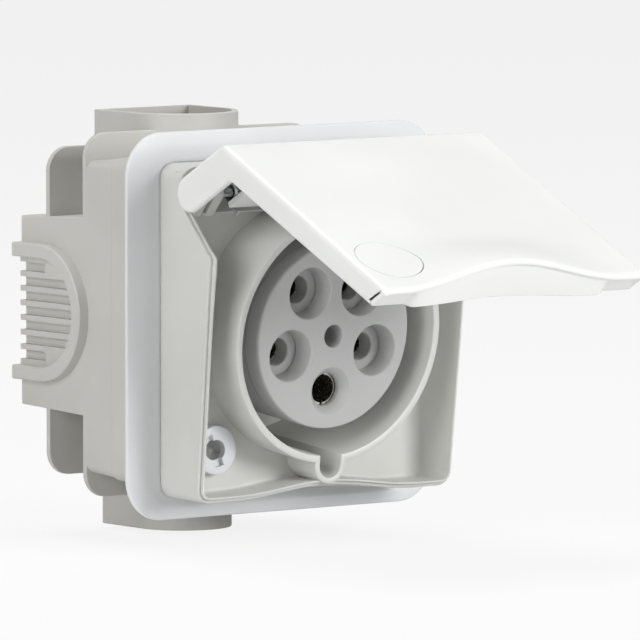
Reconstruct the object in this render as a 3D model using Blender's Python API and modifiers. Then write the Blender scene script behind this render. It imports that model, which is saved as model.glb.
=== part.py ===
"""Flush-mounted industrial wall socket, 16 A, five pins, with a hinged lid.

Metres, +Z up. The origin is the centre of the wall box's flat rear face. +Y points into the wall,
so the socket looks along -Y, and +X is to the right for someone who stands in front of it.
The lid stands open, as it rests while a plug is taken out.
"""
import math

import bmesh
import bpy
from mathutils import Matrix, Vector

# Clearance between pieces that touch
GAP = 0.0003

# Wall box
BOX_WIDTH = 0.0710
BOX_DEPTH = 0.0604
BOX_WALL = 0.0020
REAR_SIDE_WALL = 0.0028
BOX_CORNER = 0.0025
REAR_BODY_DEPTH = 0.0261
REAR_BODY_HEIGHT = 0.0478
REAR_BODY_DRAFT = 0.0011
LARGE_BODY_HEIGHT = 0.0784
LARGE_BODY_DRAFT = 0.0008
BAND_DEPTH = 0.0222
BAND_PROUD = 0.0005
FIN_PROUD = 0.0001
FIN_THICKNESS = 0.0015
FIN_CORNER = 0.0060
REAR_FIN_SETBACK = 0.0106
REAR_FIN_HEIGHT = 0.0840
STEP_FIN_HEIGHT = 0.0928

# Conduit spigots on the box
SPIGOT_WALL = 0.0016
SPIGOT_SETBACK = 0.0037
TOP_SPIGOT_WIDTH = 0.0297
TOP_SPIGOT_DEPTH = 0.0305
TOP_SPIGOT_END = 0.0500
BOTTOM_SPIGOT_WIDTH = 0.0246
BOTTOM_SPIGOT_DEPTH = 0.0296
BOTTOM_SPIGOT_END = 0.0553

# Comb rings on the box's two sides
COMB_RADIUS = 0.0173
COMB_BAND = 0.0036
COMB_PROUD = 0.0030
COMB_CENTRE = 0.0112
COMB_RECESS = 0.0018
SLAT_PITCH = 0.0037
SLAT_THICKNESS = 0.0014
SLAT_GAPS = 7
SHORT_GAP_LENGTH = 0.0107

# Cover frame
FRAME_SIZE = 0.0964
FRAME_CORNER = 0.0108
FRAME_EDGE = 0.0010
FRAME_EDGE_ROUND = 0.0003
FRAME_SEAT_THICKNESS = 0.0020
FRAME_POCKET_DEPTH = 0.0009
FRAME_LIP = 0.0034
FRAME_COVE = 0.0016
FRAME_SHELF = 0.0014
FRAME_OPENING_MARGIN = 0.0046

# Socket housing: the walls, the floor and the round shroud are one moulding
HOUSING_WIDTH = 0.0810
HOUSING_TOP = 0.0405
HOUSING_BOTTOM = 0.0427
HOUSING_WALL = 0.0015
HOUSING_CORNER = 0.0036
WEB_THICKNESS = 0.0018
SHELF_WIDTH = 0.0009
LIP_HEIGHT = 0.0010
FLOOR_FRONT = 0.0084
FLOOR_THICKNESS = 0.0020
RIM_FRONT = 0.0229
SOCKET_TILT = math.radians(6.0)
ARCH_RISE = 0.0024
ARCH_MARGIN = 0.0111

# Shroud and keyway, on the tilted axis
FACE_FRONT = 0.0211
FACE_DROP = 0.0029
SHROUD_INNER = 0.0298
SHROUD_WALL = 0.0020
SHROUD_PROUD = 0.0022
SHROUD_DEPTH = 0.0330
SHROUD_FLOOR = 0.0020
KEYWAY_WIDTH = 0.0064
KEYWAY_REACH = 0.0354
KEYWAY_WALL = 0.0016

# Contact insert and carrier
INSERT_RADIUS = 0.0234
CARRIER_FLANGE = 0.0025
CARRIER_FLANGE_OVERLAP = 0.0035
PITCH_RADIUS = 0.0138
LINE_RECESS_RADIUS = 0.0064
LINE_RECESS_FLOOR_RADIUS = 0.0058
LINE_RECESS_DEPTH = 0.0055
EARTH_SINK_RADIUS = 0.0060
EARTH_SINK_DEPTH = 0.0022
EARTH_HOLE_RADIUS = 0.0041
CENTRE_HOLE_RADIUS = 0.0028
CENTRE_HOLE_DEPTH = 0.0120
CARRIER_THICKNESS = 0.0113

# Contacts and their terminals
LINE_PIN = 0.0050
EARTH_PIN = 0.0070
SLEEVE_WALL = 0.00055
SLEEVE_SLIT = 0.0008
LINE_SLEEVE_START = 0.0095
EARTH_SLEEVE_START = 0.0035
TERMINAL_LENGTH = 0.0070
TERMINAL_RADIUS = 0.0036
WIRE_BORE_RADIUS = 0.0020
TERMINAL_SCREW_RADIUS = 0.0014
TERMINAL_SCREW_LENGTH = 0.0036
CENTRE_SCREW_HEAD = 0.0023
CENTRE_SCREW_RADIUS = 0.0013
CENTRE_SCREW_HEAD_THICKNESS = 0.0014

# Quarter-turn screws, at two opposite corners
LOWER_SCREW = (-0.0288, -0.0304)
UPPER_SCREW = (0.0299, 0.0221)
TURN_SCREW_HEAD = 0.0061
TURN_SCREW_HEAD_THICKNESS = 0.0016
TURN_SCREW_STANDS = 0.0026
TURN_SCREW_SHANK = 0.0030
TURN_CAM_REACH = 0.0062
TURN_CAM_THICKNESS = 0.0022
CATCH_DEPTH = 0.0150
CATCH_THICKNESS = 0.0020
CATCH_REACH = 0.0045
SLOT_WIDTH = 0.0028
SLOT_LENGTH = 0.0076
SLOT_DEPTH = 0.0011
TURN_BORE_RADIUS = 0.0021
TURN_BORE_DEPTH = 0.0080

# Hinge, lid and its seal
HINGE_FRONT = 0.0148
HINGE_HEIGHT = 0.0339
PIN_RADIUS = 0.00125
PIN_PLAY = 0.0001
LID_OVERHANG = 0.0004
LID_WALL = 0.0017
REBATE_WALL = 0.0010
REBATE_END_WALL = 0.0006
REBATE_DEPTH = 0.0013
LID_LEG = 0.0093
LID_EDGE_ROUND = 0.0010
LEG_SLOPE = math.radians(41.0)
LEG_LENGTH = 0.0187
LID_SKIRT = 0.0070
LID_SKIRT_END = 0.00645
LID_LENGTH = 0.0722
LID_END_TUCK = 0.0016
LID_CORNER_TUCK = 0.0033
GRIP_MARGIN = 0.0064
GRIP_RISE = 0.0045
GRIP_SETBACK = 0.0028
GRIP_RUN = 0.0200
END_SKIRT_MARGIN = 0.0112
LID_OPEN_ANGLE = math.radians(70.0)
POCKET_RADIUS = 0.0058
POCKET_RISE = 0.0012
LUG_RADIUS = 0.00225
LUG_WIDTH = 0.0028
LUG_SPACING = 0.0040
BOSS_LENGTH = 0.0012
SEAL_THICKNESS = 0.0032
SEAL_OVERLAP = 0.0009
SEAL_WIDTH = 0.0029
SEAL_TOP_MARGIN = 0.0012

# Lid spring
SPRING_WIRE = 0.0009
SPRING_TURNS = 6
SPRING_MARGIN = 0.0164
SPRING_CLEARANCE = 0.0003
SPRING_LEG = 0.0060

# Seal between the frame's pocket and the box's mouth
GASKET_WIDTH = 0.0013

# Carrier screws
CARRIER_SCREW_RADIUS = 0.0012
CARRIER_SCREW_HEAD = 0.0022
CARRIER_SCREW_HEAD_THICKNESS = 0.0015
CARRIER_SCREW_LENGTH = 0.0150

# Sizes that follow from the ones above
BOX_HALF = BOX_WIDTH / 2
WALL_Y = -(BOX_DEPTH + GAP)
FRAME_FRONT_Y = WALL_Y - FRAME_EDGE
STEP_Y = -REAR_BODY_DEPTH
HOUSING_HALF = HOUSING_WIDTH / 2
SEAT_Y = WALL_Y - FRAME_SEAT_THICKNESS
ARCH_HALF_WIDTH = HOUSING_HALF - ARCH_MARGIN
SHROUD_OUTER = SHROUD_INNER + SHROUD_WALL
LID_WIDTH = HOUSING_WIDTH + 2 * LID_OVERHANG
LEG_HALF = LID_LEG / 2
GRIP_HALF_WIDTH = LID_WIDTH / 2 - GRIP_MARGIN
END_SKIRT_HALF_WIDTH = LID_WIDTH / 2 - END_SKIRT_MARGIN
SEAL_INNER = SHROUD_INNER - SEAL_OVERLAP
SPRING_PLACE = -(LID_WIDTH / 2 - SPRING_MARGIN)
MOUTH_HALF_WIDTH = BOX_HALF + BAND_PROUD
MOUTH_HALF_HEIGHT = LARGE_BODY_HEIGHT / 2 + LARGE_BODY_DRAFT + BAND_PROUD
POCKET_Y = WALL_Y - FRAME_POCKET_DEPTH
CIRCLE = 32


def front(distance):
    """The Y of a plane that lies this far in front of the cover frame's face."""
    return FRAME_FRONT_Y - distance


def clear_scene():
    for obj in list(bpy.data.objects):
        bpy.data.objects.remove(obj, do_unlink=True)


def new_collection(name):
    collection = bpy.data.collections.new(name)
    bpy.context.scene.collection.children.link(collection)
    return collection


def make_material(name, colour, roughness, metallic=0.0):
    material = bpy.data.materials.new(name)
    material.use_nodes = True
    shader = material.node_tree.nodes["Principled BSDF"]
    shader.inputs["Base Color"].default_value = (*colour, 1.0)
    shader.inputs["Roughness"].default_value = roughness
    shader.inputs["Metallic"].default_value = metallic
    return material


def add_object(name, mesh):
    obj = bpy.data.objects.new(name, mesh)
    bpy.context.scene.collection.objects.link(obj)
    return obj


def move_to(obj, collection):
    for other in list(obj.users_collection):
        other.objects.unlink(obj)
    collection.objects.link(obj)


def finish_mesh(mesh):
    """Weld loose caps and turn every face outwards."""
    work = bmesh.new()
    work.from_mesh(mesh)
    bmesh.ops.remove_doubles(work, verts=work.verts, dist=0.000001)
    bmesh.ops.recalc_face_normals(work, faces=work.faces)
    work.to_mesh(mesh)
    work.free()


def as_mesh(obj):
    """Replace a curve, or an object with modifiers, by its own closed mesh."""
    name = obj.name
    graph = bpy.context.evaluated_depsgraph_get()
    mesh = bpy.data.meshes.new_from_object(obj.evaluated_get(graph))
    finish_mesh(mesh)
    placed = obj.matrix_world.copy()
    bpy.data.objects.remove(obj, do_unlink=True)
    result = add_object(name, mesh)
    result.matrix_world = placed
    return result


AXES = {
    "X": Matrix(((0, 0, 1, 0), (1, 0, 0, 0), (0, 1, 0, 0), (0, 0, 0, 1))),
    "Y": Matrix(((1, 0, 0, 0), (0, 0, -1, 0), (0, 1, 0, 0), (0, 0, 0, 1))),
    "Z": Matrix.Identity(4),
}


def extruded(name, outlines, low, high, along):
    """A flat outline, with any holes, extruded between two planes along X, Y or Z.

    The outline's two coordinates are the other two axes, in the order X, Y, Z.
    """
    curve = bpy.data.curves.new(name, "CURVE")
    curve.dimensions = "2D"
    curve.fill_mode = "BOTH"
    curve.extrude = (high - low) / 2
    for outline in outlines:
        spline = curve.splines.new("POLY")
        spline.points.add(len(outline) - 1)
        for point, (a, b) in zip(spline.points, outline):
            point.co = (a, b, 0, 1)
        spline.use_cyclic_u = True
    obj = add_object(name, curve)
    middle = (low + high) / 2
    place = {"X": Vector((middle, 0, 0)), "Y": Vector((0, middle, 0)), "Z": Vector((0, 0, middle))}
    obj.matrix_world = Matrix.Translation(place[along]) @ AXES[along]
    bpy.context.view_layer.update()
    obj = as_mesh(obj)
    obj.data.transform(obj.matrix_world)
    obj.matrix_world = Matrix.Identity(4)
    finish_mesh(obj.data)
    return obj


def block(name, low, high):
    """A box between two corners."""
    mesh = bpy.data.meshes.new(name)
    work = bmesh.new()
    bmesh.ops.create_cube(work, size=1)
    size = Vector(high) - Vector(low)
    middle = (Vector(high) + Vector(low)) / 2
    bmesh.ops.scale(work, vec=size, verts=work.verts)
    bmesh.ops.translate(work, vec=middle, verts=work.verts)
    work.to_mesh(mesh)
    work.free()
    return add_object(name, mesh)


def turned(name, profile, segments=CIRCLE):
    """A profile of (radius, depth) points turned about the Y axis; depth runs along +Y."""
    mesh = bpy.data.meshes.new(name)
    points = [(radius, 0, depth) for radius, depth in profile]
    edges = [(i, i + 1) for i in range(len(points) - 1)]
    if profile[0][0] > 0:
        edges.append((len(points) - 1, 0))
    mesh.from_pydata(points, edges, [])
    obj = add_object(name, mesh)
    screw = obj.modifiers.new("turn", "SCREW")
    screw.axis = "Z"
    screw.steps = segments
    screw.render_steps = segments
    screw.use_merge_vertices = True
    screw.merge_threshold = 0.000005
    bpy.context.view_layer.update()
    obj = as_mesh(obj)
    obj.data.transform(Matrix.Rotation(math.radians(-90), 4, "X"))
    return obj


def lofted(name, sections, closed=False):
    """A body through sections of equal point counts; a closed one ends where it starts."""
    count = len(sections[0])
    points = [point for section in sections for point in section]
    pairs = [(i, i + 1) for i in range(len(sections) - 1)]
    faces = []
    if closed:
        pairs.append((len(sections) - 1, 0))
    else:
        faces += [tuple(range(count)), tuple(range((len(sections) - 1) * count, len(points)))]
    for first, second in pairs:
        for i in range(count):
            j = (i + 1) % count
            faces.append((first * count + i, first * count + j, second * count + j, second * count + i))
    mesh = bpy.data.meshes.new(name)
    mesh.from_pydata(points, [], faces)
    finish_mesh(mesh)
    return add_object(name, mesh)


def combine(target, other, operation):
    modifier = target.modifiers.new(other.name, "BOOLEAN")
    modifier.operation = operation
    modifier.object = other
    other.hide_render = True
    other.display_type = "WIRE"
    move_to(other, guides)


def cut(target, *cutters):
    for cutter in cutters:
        combine(target, cutter, "DIFFERENCE")


def join(target, *others):
    for other in others:
        combine(target, other, "UNION")


def finish_part(obj, material, smooth=True):
    """Put a piece in the socket's collection with its material and shading."""
    move_to(obj, socket)
    bpy.context.view_layer.update()
    obj.data.materials.clear()
    obj.data.materials.append(material)
    if smooth:
        obj.data.shade_smooth()
        obj.data.set_sharp_from_angle(angle=math.radians(35))


def arc(centre, radius, start, end, steps):
    """Points on an arc, both ends included; angles in degrees."""
    points = []
    for i in range(steps + 1):
        angle = math.radians(start + (end - start) * i / steps)
        points.append((centre[0] + radius * math.cos(angle), centre[1] + radius * math.sin(angle)))
    return points


def rounded_rectangle(half_width, low, high, radius, steps=4):
    """A rounded rectangle, symmetric in its first coordinate, anticlockwise from the right."""
    inner = half_width - radius
    return (
        arc((inner, high - radius), radius, 0, 90, steps)
        + arc((-inner, high - radius), radius, 90, 180, steps)
        + arc((-inner, low + radius), radius, 180, 270, steps)
        + arc((inner, low + radius), radius, 270, 360, steps)
    )


def ring_section(half_width, low, high, radius, y, steps=5):
    return [(x, y, z) for x, z in rounded_rectangle(half_width, low, high, radius, steps)]


def d_outline(half_width, rear, depth, steps=16):
    """A D in the XY plane: flat towards the wall, round towards the front."""
    centre = rear - depth + half_width
    curve = arc((0, centre), half_width, 180, 360, steps)
    return curve + [(half_width, rear), (-half_width, rear)]


def drafted_body(name, half_width, rear_y, rear_half, front_y, front_half, radius):
    rear = ring_section(half_width, -rear_half, rear_half, radius, rear_y, 3)
    front_ring = ring_section(half_width, -front_half, front_half, radius, front_y, 3)
    return lofted(name, [rear, front_ring])


# Wall box
def comb_outline(radius, past_rear=0.0):
    """The U of a comb ring in the YZ plane, open towards the box's rear."""
    curve = arc((-COMB_CENTRE, 0), radius, 90, 270, 16)
    return [(past_rear, radius)] + curve + [(past_rear, -radius)]


def comb_ring(side):
    wall = side * BOX_HALF
    outer = sorted((wall - side * BOX_WALL / 2, wall + side * COMB_PROUD))
    band = comb_outline(COMB_RADIUS)
    band += list(reversed(comb_outline(COMB_RADIUS - COMB_BAND)))
    return extruded("comb_ring", [band], outer[0], outer[1], "X")


def comb_slot(side, index):
    wall = side * BOX_HALF
    height = SLAT_PITCH - SLAT_THICKNESS
    z = (index - (SLAT_GAPS - 1) / 2) * SLAT_PITCH
    reach = abs(z) + height / 2
    inner_radius = COMB_RADIUS - COMB_BAND
    if index in (0, SLAT_GAPS - 1):
        length = SHORT_GAP_LENGTH
    else:
        length = COMB_CENTRE + math.sqrt(max(inner_radius**2 - reach**2, 0.0))
    span = sorted((wall - side * COMB_RECESS, wall + side * COMB_PROUD * 2))
    low = (span[0], -length, z - height / 2)
    high = (span[1], BOX_WALL, z + height / 2)
    return block("comb_slot", low, high)


def spigot(name, width, depth, end, start):
    low, high = sorted((start, end))
    return extruded(name, [d_outline(width / 2, -SPIGOT_SETBACK, depth)], low, high, "Z")


def spigot_bore(name, width, depth, end, start):
    past_end = end + math.copysign(BOX_WALL, end)
    low, high = sorted((start, past_end))
    outline = d_outline(width / 2 - SPIGOT_WALL, -SPIGOT_SETBACK - SPIGOT_WALL, depth - 2 * SPIGOT_WALL)
    return extruded(name, [outline], low, high, "Z")


def catch_position(side):
    """The lower left screw is side -1; the upper right one is side +1."""
    return LOWER_SCREW if side < 0 else UPPER_SCREW


def catch_tab(side):
    """A shelf on the side wall, beside the screw, behind which its cam hooks."""
    x, z = catch_position(side)
    front_y = front(-CATCH_DEPTH)
    xs = sorted((side * (BOX_HALF - BOX_WALL / 2), x - side * CATCH_REACH))
    near = z - side * (TURN_SCREW_SHANK + 2 * GAP)
    far = z - side * (TURN_CAM_REACH + CATCH_THICKNESS)
    zs = sorted((near, far))
    return block("catch_tab", (xs[0], front_y, zs[0]), (xs[1], front_y + CATCH_THICKNESS, zs[1]))


def box_sections():
    """Sections from the box's rear to its mouth; each fin is a step out and a step back."""
    rear_half = REAR_BODY_HEIGHT / 2
    step_half = rear_half + REAR_BODY_DRAFT
    large_half = LARGE_BODY_HEIGHT / 2
    mouth_half = large_half + LARGE_BODY_DRAFT
    band_half = mouth_half + BAND_PROUD
    band_y = -BOX_DEPTH + BAND_DEPTH
    fin_rear = -REAR_FIN_SETBACK
    fin_front = fin_rear - FIN_THICKNESS
    fin_x = BOX_HALF + FIN_PROUD
    band_x = BOX_HALF + BAND_PROUD
    draft = REAR_BODY_DRAFT / REAR_BODY_DEPTH
    steps = (
        (BOX_HALF, rear_half, BOX_CORNER, 0),
        (BOX_HALF, rear_half - fin_rear * draft, BOX_CORNER, fin_rear),
        (fin_x, REAR_FIN_HEIGHT / 2, FIN_CORNER, fin_rear),
        (fin_x, REAR_FIN_HEIGHT / 2, FIN_CORNER, fin_front),
        (BOX_HALF, rear_half - fin_front * draft, BOX_CORNER, fin_front),
        (BOX_HALF, step_half, BOX_CORNER, STEP_Y),
        (fin_x, STEP_FIN_HEIGHT / 2, FIN_CORNER, STEP_Y),
        (fin_x, STEP_FIN_HEIGHT / 2, FIN_CORNER, STEP_Y - FIN_THICKNESS),
        (BOX_HALF, large_half, BOX_CORNER, STEP_Y - FIN_THICKNESS),
        (BOX_HALF, mouth_half, BOX_CORNER, band_y),
        (band_x, band_half, BOX_CORNER + BAND_PROUD, band_y - BAND_PROUD),
        (band_x, band_half, BOX_CORNER + BAND_PROUD, -BOX_DEPTH),
    )
    return [ring_section(half_width, -half, half, radius, y, 4) for half_width, half, radius, y in steps]


def build_wall_box():
    rear_half = REAR_BODY_HEIGHT / 2
    step_half = rear_half + REAR_BODY_DRAFT
    large_half = LARGE_BODY_HEIGHT / 2
    mouth_half = large_half + LARGE_BODY_DRAFT
    overlap = BOX_WALL / 2
    box = lofted("wall_box", box_sections())
    start = rear_half - BOX_WALL
    join(box, spigot("top_spigot", TOP_SPIGOT_WIDTH, TOP_SPIGOT_DEPTH, TOP_SPIGOT_END, start))
    join(box, spigot("bottom_spigot", BOTTOM_SPIGOT_WIDTH, BOTTOM_SPIGOT_DEPTH, -BOTTOM_SPIGOT_END, -start))
    for side in (-1, 1):
        join(box, comb_ring(side))
    inside = BOX_HALF - BOX_WALL
    radius = BOX_CORNER - BOX_WALL / 2
    cut(box, drafted_body("large_cavity", inside, STEP_Y - BOX_WALL, large_half - BOX_WALL,
                          -BOX_DEPTH - overlap, mouth_half - BOX_WALL, radius))
    cut(box, drafted_body("rear_cavity", BOX_HALF - REAR_SIDE_WALL, -BOX_WALL, rear_half - BOX_WALL,
                          STEP_Y - BOX_WALL - overlap, step_half - BOX_WALL, radius))
    bore_start = rear_half - 2 * BOX_WALL
    cut(box, spigot_bore("top_bore", TOP_SPIGOT_WIDTH, TOP_SPIGOT_DEPTH, TOP_SPIGOT_END, bore_start))
    cut(box, spigot_bore("bottom_bore", BOTTOM_SPIGOT_WIDTH, BOTTOM_SPIGOT_DEPTH, -BOTTOM_SPIGOT_END,
                         -bore_start))
    for side in (-1, 1):
        for index in range(SLAT_GAPS):
            cut(box, comb_slot(side, index))
        join(box, catch_tab(side))
    finish_part(box, box_plastic)


# Cover frame
def frame_opening():
    half = MOUTH_HALF_WIDTH - FRAME_SHELF
    return half, -HOUSING_BOTTOM + FRAME_OPENING_MARGIN, HOUSING_TOP - FRAME_OPENING_MARGIN


def build_cover_frame():
    half = FRAME_SIZE / 2
    seam = HOUSING_HALF + GAP
    top = HOUSING_TOP + GAP
    bottom = -HOUSING_BOTTOM - GAP
    corner = HOUSING_CORNER + GAP
    open_half, open_low, open_high = frame_opening()
    edge = FRAME_EDGE_ROUND
    lip = front(FRAME_LIP)
    cove_steps = 4
    tall = MOUTH_HALF_HEIGHT + GAP
    pocket = (MOUTH_HALF_WIDTH + GAP, -tall, tall, BOX_CORNER + BAND_PROUD + GAP)
    sections = [
        ring_section(open_half, open_low, open_high, corner, POCKET_Y),
        ring_section(*pocket, POCKET_Y),
        ring_section(*pocket, WALL_Y),
        ring_section(half, -half, half, FRAME_CORNER, WALL_Y),
        ring_section(half, -half, half, FRAME_CORNER, front(-edge)),
        ring_section(half - edge, -half + edge, half - edge, FRAME_CORNER - edge, front(0)),
    ]
    for i in range(cove_steps + 1):
        angle = math.pi / 2 * i / cove_steps
        out = FRAME_COVE * (1 - math.sin(angle)) + edge
        rise = FRAME_LIP * (1 - math.cos(angle))
        sections.append(ring_section(seam + out, bottom - out, top + out, corner + out, front(rise)))
    sections += [
        ring_section(seam, bottom, top, corner, lip),
        ring_section(seam, bottom, top, corner, SEAT_Y),
        ring_section(open_half, open_low, open_high, corner, SEAT_Y),
    ]
    frame = lofted("cover_frame", sections, closed=True)
    finish_part(frame, frame_plastic)


def build_wall_gasket():
    """A soft ring on the box's mouth, in the pocket in the frame's back."""
    half = MOUTH_HALF_WIDTH
    tall = MOUTH_HALF_HEIGHT
    corner = BOX_CORNER + BAND_PROUD
    outer = rounded_rectangle(half, -tall, tall, corner, 3)
    half -= GASKET_WIDTH
    tall -= GASKET_WIDTH
    inner = rounded_rectangle(half, -tall, tall, corner - GASKET_WIDTH, 3)
    gasket = extruded("wall_gasket", [outer, inner], POCKET_Y + GAP, -BOX_DEPTH - GAP, "Y")
    finish_part(gasket, seal_rubber)


# Socket housing
def leg_line():
    """A point on the lid's closed leg line, on its inner side, and its direction, as (Y, Z)."""
    hinge = (front(HINGE_FRONT), HINGE_HEIGHT)
    slope = LEG_SLOPE
    along = (-math.cos(slope), -math.sin(slope))
    offset = LEG_HALF + GAP
    point = (hinge[0] + offset * math.sin(slope), hinge[1] - offset * math.cos(slope))
    return point, along


def rim_y(z, offset=0.0):
    """The Y of the housing's tilted rim plane at a height."""
    return front(RIM_FRONT) - z * math.tan(SOCKET_TILT) + offset / math.cos(SOCKET_TILT)


def rim_corner(offset=0.0):
    """Where the sloping rim below the hinge meets the tilted rim, moved back by an offset."""
    point, along = leg_line()
    point = (point[0] + offset * math.sin(LEG_SLOPE), point[1] - offset * math.cos(LEG_SLOPE))
    slope = math.tan(SOCKET_TILT)
    gap = point[0] - rim_y(point[1], offset)
    t = gap / (-along[0] - slope * along[1])
    return point[0] + along[0] * t, point[1] + along[1] * t


def housing_profile(offset):
    """The housing's side outline in YZ, with its rim moved back by an offset."""
    bottom = -HOUSING_BOTTOM - BOX_WALL
    top = HOUSING_TOP + BOX_WALL
    foot = SEAT_Y + BOX_WALL
    corner = rim_corner(offset)
    centre = (front(HINGE_FRONT), HINGE_HEIGHT + POCKET_RISE)
    start = -90 + math.degrees(LEG_SLOPE)
    pocket = arc(centre, POCKET_RADIUS, start, 75, 12)
    points = [(foot, bottom), (rim_y(bottom, offset), bottom), corner]
    points += pocket
    points += [(pocket[-1][0], top), (foot, top)]
    return points


def housing_outline(inset, arch=1.0, steps=4):
    """The housing's outline in XZ; its bottom wall is arched up in the middle by a share of the rise."""
    half = HOUSING_HALF - inset
    top = HOUSING_TOP - inset
    bottom = -HOUSING_BOTTOM + inset
    radius = max(HOUSING_CORNER - inset, 0.0006)
    inner = half - radius
    points = arc((inner, top - radius), radius, 0, 90, steps)
    points += arc((-inner, top - radius), radius, 90, 180, steps)
    points += arc((-inner, bottom + radius), radius, 180, 270, steps)
    count = 8
    for i in range(count + 1):
        x = -ARCH_HALF_WIDTH + 2 * ARCH_HALF_WIDTH * i / count
        rise = arch * ARCH_RISE * 0.5 * (1 + math.cos(math.pi * x / ARCH_HALF_WIDTH))
        points.append((x, bottom + rise))
    points += arc((inner, bottom + radius), radius, 270, 360, steps)
    return points


def lip_profile():
    """The side outline of the lip, which ends short of the pocket behind the hinge."""
    bottom = -HOUSING_BOTTOM - BOX_WALL
    foot = SEAT_Y + BOX_WALL
    point, along = leg_line()
    end = (point[0] + along[0] * LIP_HEIGHT, point[1] + along[1] * LIP_HEIGHT)
    return [(foot, bottom), (rim_y(bottom), bottom), rim_corner(), end, (foot, end[1] - LIP_HEIGHT)]


def housing_shell(name, inset, profile, foot):
    """The solid behind a rim, down to a foot; the arch below runs out towards the foot."""
    past = front(RIM_FRONT * 2)
    share = (past - SEAT_Y) / (rim_y(-HOUSING_BOTTOM) - SEAT_Y)
    start = (foot - SEAT_Y) / (rim_y(-HOUSING_BOTTOM) - SEAT_Y)
    rings = []
    for y, arch in ((foot, start), (past, share)):
        rings.append([(x, y, z) for x, z in housing_outline(inset, arch)])
    shell = lofted(name, rings)
    side = extruded(name + "_side", [profile], -HOUSING_WIDTH, HOUSING_WIDTH, "X")
    combine(shell, side, "INTERSECT")
    return shell


def tilted(obj):
    """Move a piece made on the socket's own axis to its place; depth 0 is the insert's face."""
    obj.parent = socket_axis
    return obj


def keyhole_outline(radius, reach, half):
    """A circle with a rounded slot at its bottom, in the XZ plane."""
    opening = math.degrees(math.asin(half / radius))
    circle = arc((0, 0), radius, -90 + opening, 270 - opening, 46)
    slot = arc((0, half - reach), half, 180, 360, 10)
    return circle + slot


def shroud_tube():
    """The tube, with its top cut back so that the closed lid's leg passes over it."""
    outline = keyhole_outline(SHROUD_OUTER, KEYWAY_REACH + KEYWAY_WALL, KEYWAY_WIDTH / 2 + KEYWAY_WALL)
    tube = tilted(extruded("shroud_tube", [outline], -SHROUD_PROUD, SHROUD_DEPTH + SHROUD_FLOOR, "Y"))
    leg, leg_out, plate, plate_out = lid_frame()
    hinge = Vector((front(HINGE_FRONT), HINGE_HEIGHT))
    low = LEG_HALF - LID_WALL - 2 * GAP
    corners = ((-LEG_LENGTH, low), (LEG_LENGTH * 2, low), (LEG_LENGTH * 2, low + LEG_LENGTH),
               (-LEG_LENGTH, low + LEG_LENGTH))
    outline = [tuple(hinge + leg * a + leg_out * b) for a, b in corners]
    cut(tube, extruded("leg_room", [outline], -HOUSING_HALF, HOUSING_HALF, "X"))
    return tube


def shroud_bore():
    outline = keyhole_outline(SHROUD_INNER, KEYWAY_REACH, KEYWAY_WIDTH / 2)
    bore = extruded("shroud_bore", [outline], -SHROUD_PROUD * 4, SHROUD_DEPTH, "Y")
    hole = turned("insert_opening", [(0, SHROUD_DEPTH / 2), (INSERT_RADIUS + GAP, SHROUD_DEPTH / 2),
                                     (INSERT_RADIUS + GAP, SHROUD_DEPTH * 2), (0, SHROUD_DEPTH * 2)], 40)
    return tilted(bore), tilted(hole)


def screw_boss(side):
    x, z = catch_position(side)
    back = front(FLOOR_FRONT - FLOOR_THICKNESS / 2)
    face = front(FLOOR_FRONT + TURN_SCREW_STANDS - TURN_SCREW_HEAD_THICKNESS - GAP)
    boss = turned("screw_boss", [(0, face), (TURN_SCREW_HEAD, face), (TURN_SCREW_HEAD, back), (0, back)], 24)
    boss.data.transform(Matrix.Translation((x, 0, z)))
    return boss


def screw_passage(side):
    x, z = catch_position(side)
    radius = TURN_SCREW_SHANK + GAP
    low = front(FLOOR_FRONT * 2)
    passage = turned("screw_passage", [(0, low), (radius, low), (radius, 0), (0, 0)], 16)
    passage.data.transform(Matrix.Translation((x, 0, z)))
    return passage


def lug_positions():
    """The inner and outer X of each hinge lug."""
    outer = LID_WIDTH / 2 - LID_WALL - BOSS_LENGTH - GAP
    spans = []
    for side in (-1, 1):
        for step in (0, 1):
            edge = outer - step * LUG_SPACING
            spans.append(sorted((side * edge, side * (edge - LUG_WIDTH))))
    return spans


def hinge_lug(span):
    """A rounded ear round the pin, standing on the wall behind it."""
    hinge = (front(HINGE_FRONT), HINGE_HEIGHT)
    slope = math.degrees(LEG_SLOPE)
    ear = arc(hinge, LUG_RADIUS, slope, slope + 180, 10)
    point, along = leg_line()
    depth = WEB_THICKNESS / 3
    root = (point[0] + depth * math.sin(LEG_SLOPE), point[1] - depth * math.cos(LEG_SLOPE))
    foot = [(root[0] + along[0] * LUG_RADIUS, root[1] + along[1] * LUG_RADIUS),
            (root[0] - along[0] * PIN_RADIUS, root[1] - along[1] * PIN_RADIUS)]
    return extruded("hinge_lug", [ear + foot], span[0], span[1], "X")


def pin_hole(radius):
    half = LID_WIDTH / 2
    hole = turned("pin_hole", [(0, -half), (radius, -half), (radius, half), (0, half)], 16)
    hole.data.transform(Matrix.Rotation(math.radians(90), 4, "Z"))
    hole.data.transform(Matrix.Translation((0, front(HINGE_FRONT), HINGE_HEIGHT)))
    return hole


def housing_cavity():
    """The open space in front of the floor, inside the walls and under the hinge's wall."""
    cavity = extruded("housing_cavity", [housing_outline(HOUSING_WALL)], front(RIM_FRONT * 2),
                      front(FLOOR_FRONT), "Y")
    point, along = leg_line()
    back = front(FLOOR_FRONT)
    far = front(RIM_FRONT * 2)
    ceiling = point[1] - WEB_THICKNESS
    low = -HOUSING_BOTTOM - BOX_WALL
    side = extruded("cavity_side", [[(back, low), (back, ceiling), (point[0] - HOUSING_WALL / 2, ceiling),
                                     (far, HOUSING_TOP), (far, low)]],
                    -HOUSING_WIDTH, HOUSING_WIDTH, "X")
    combine(cavity, side, "INTERSECT")
    return cavity


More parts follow.
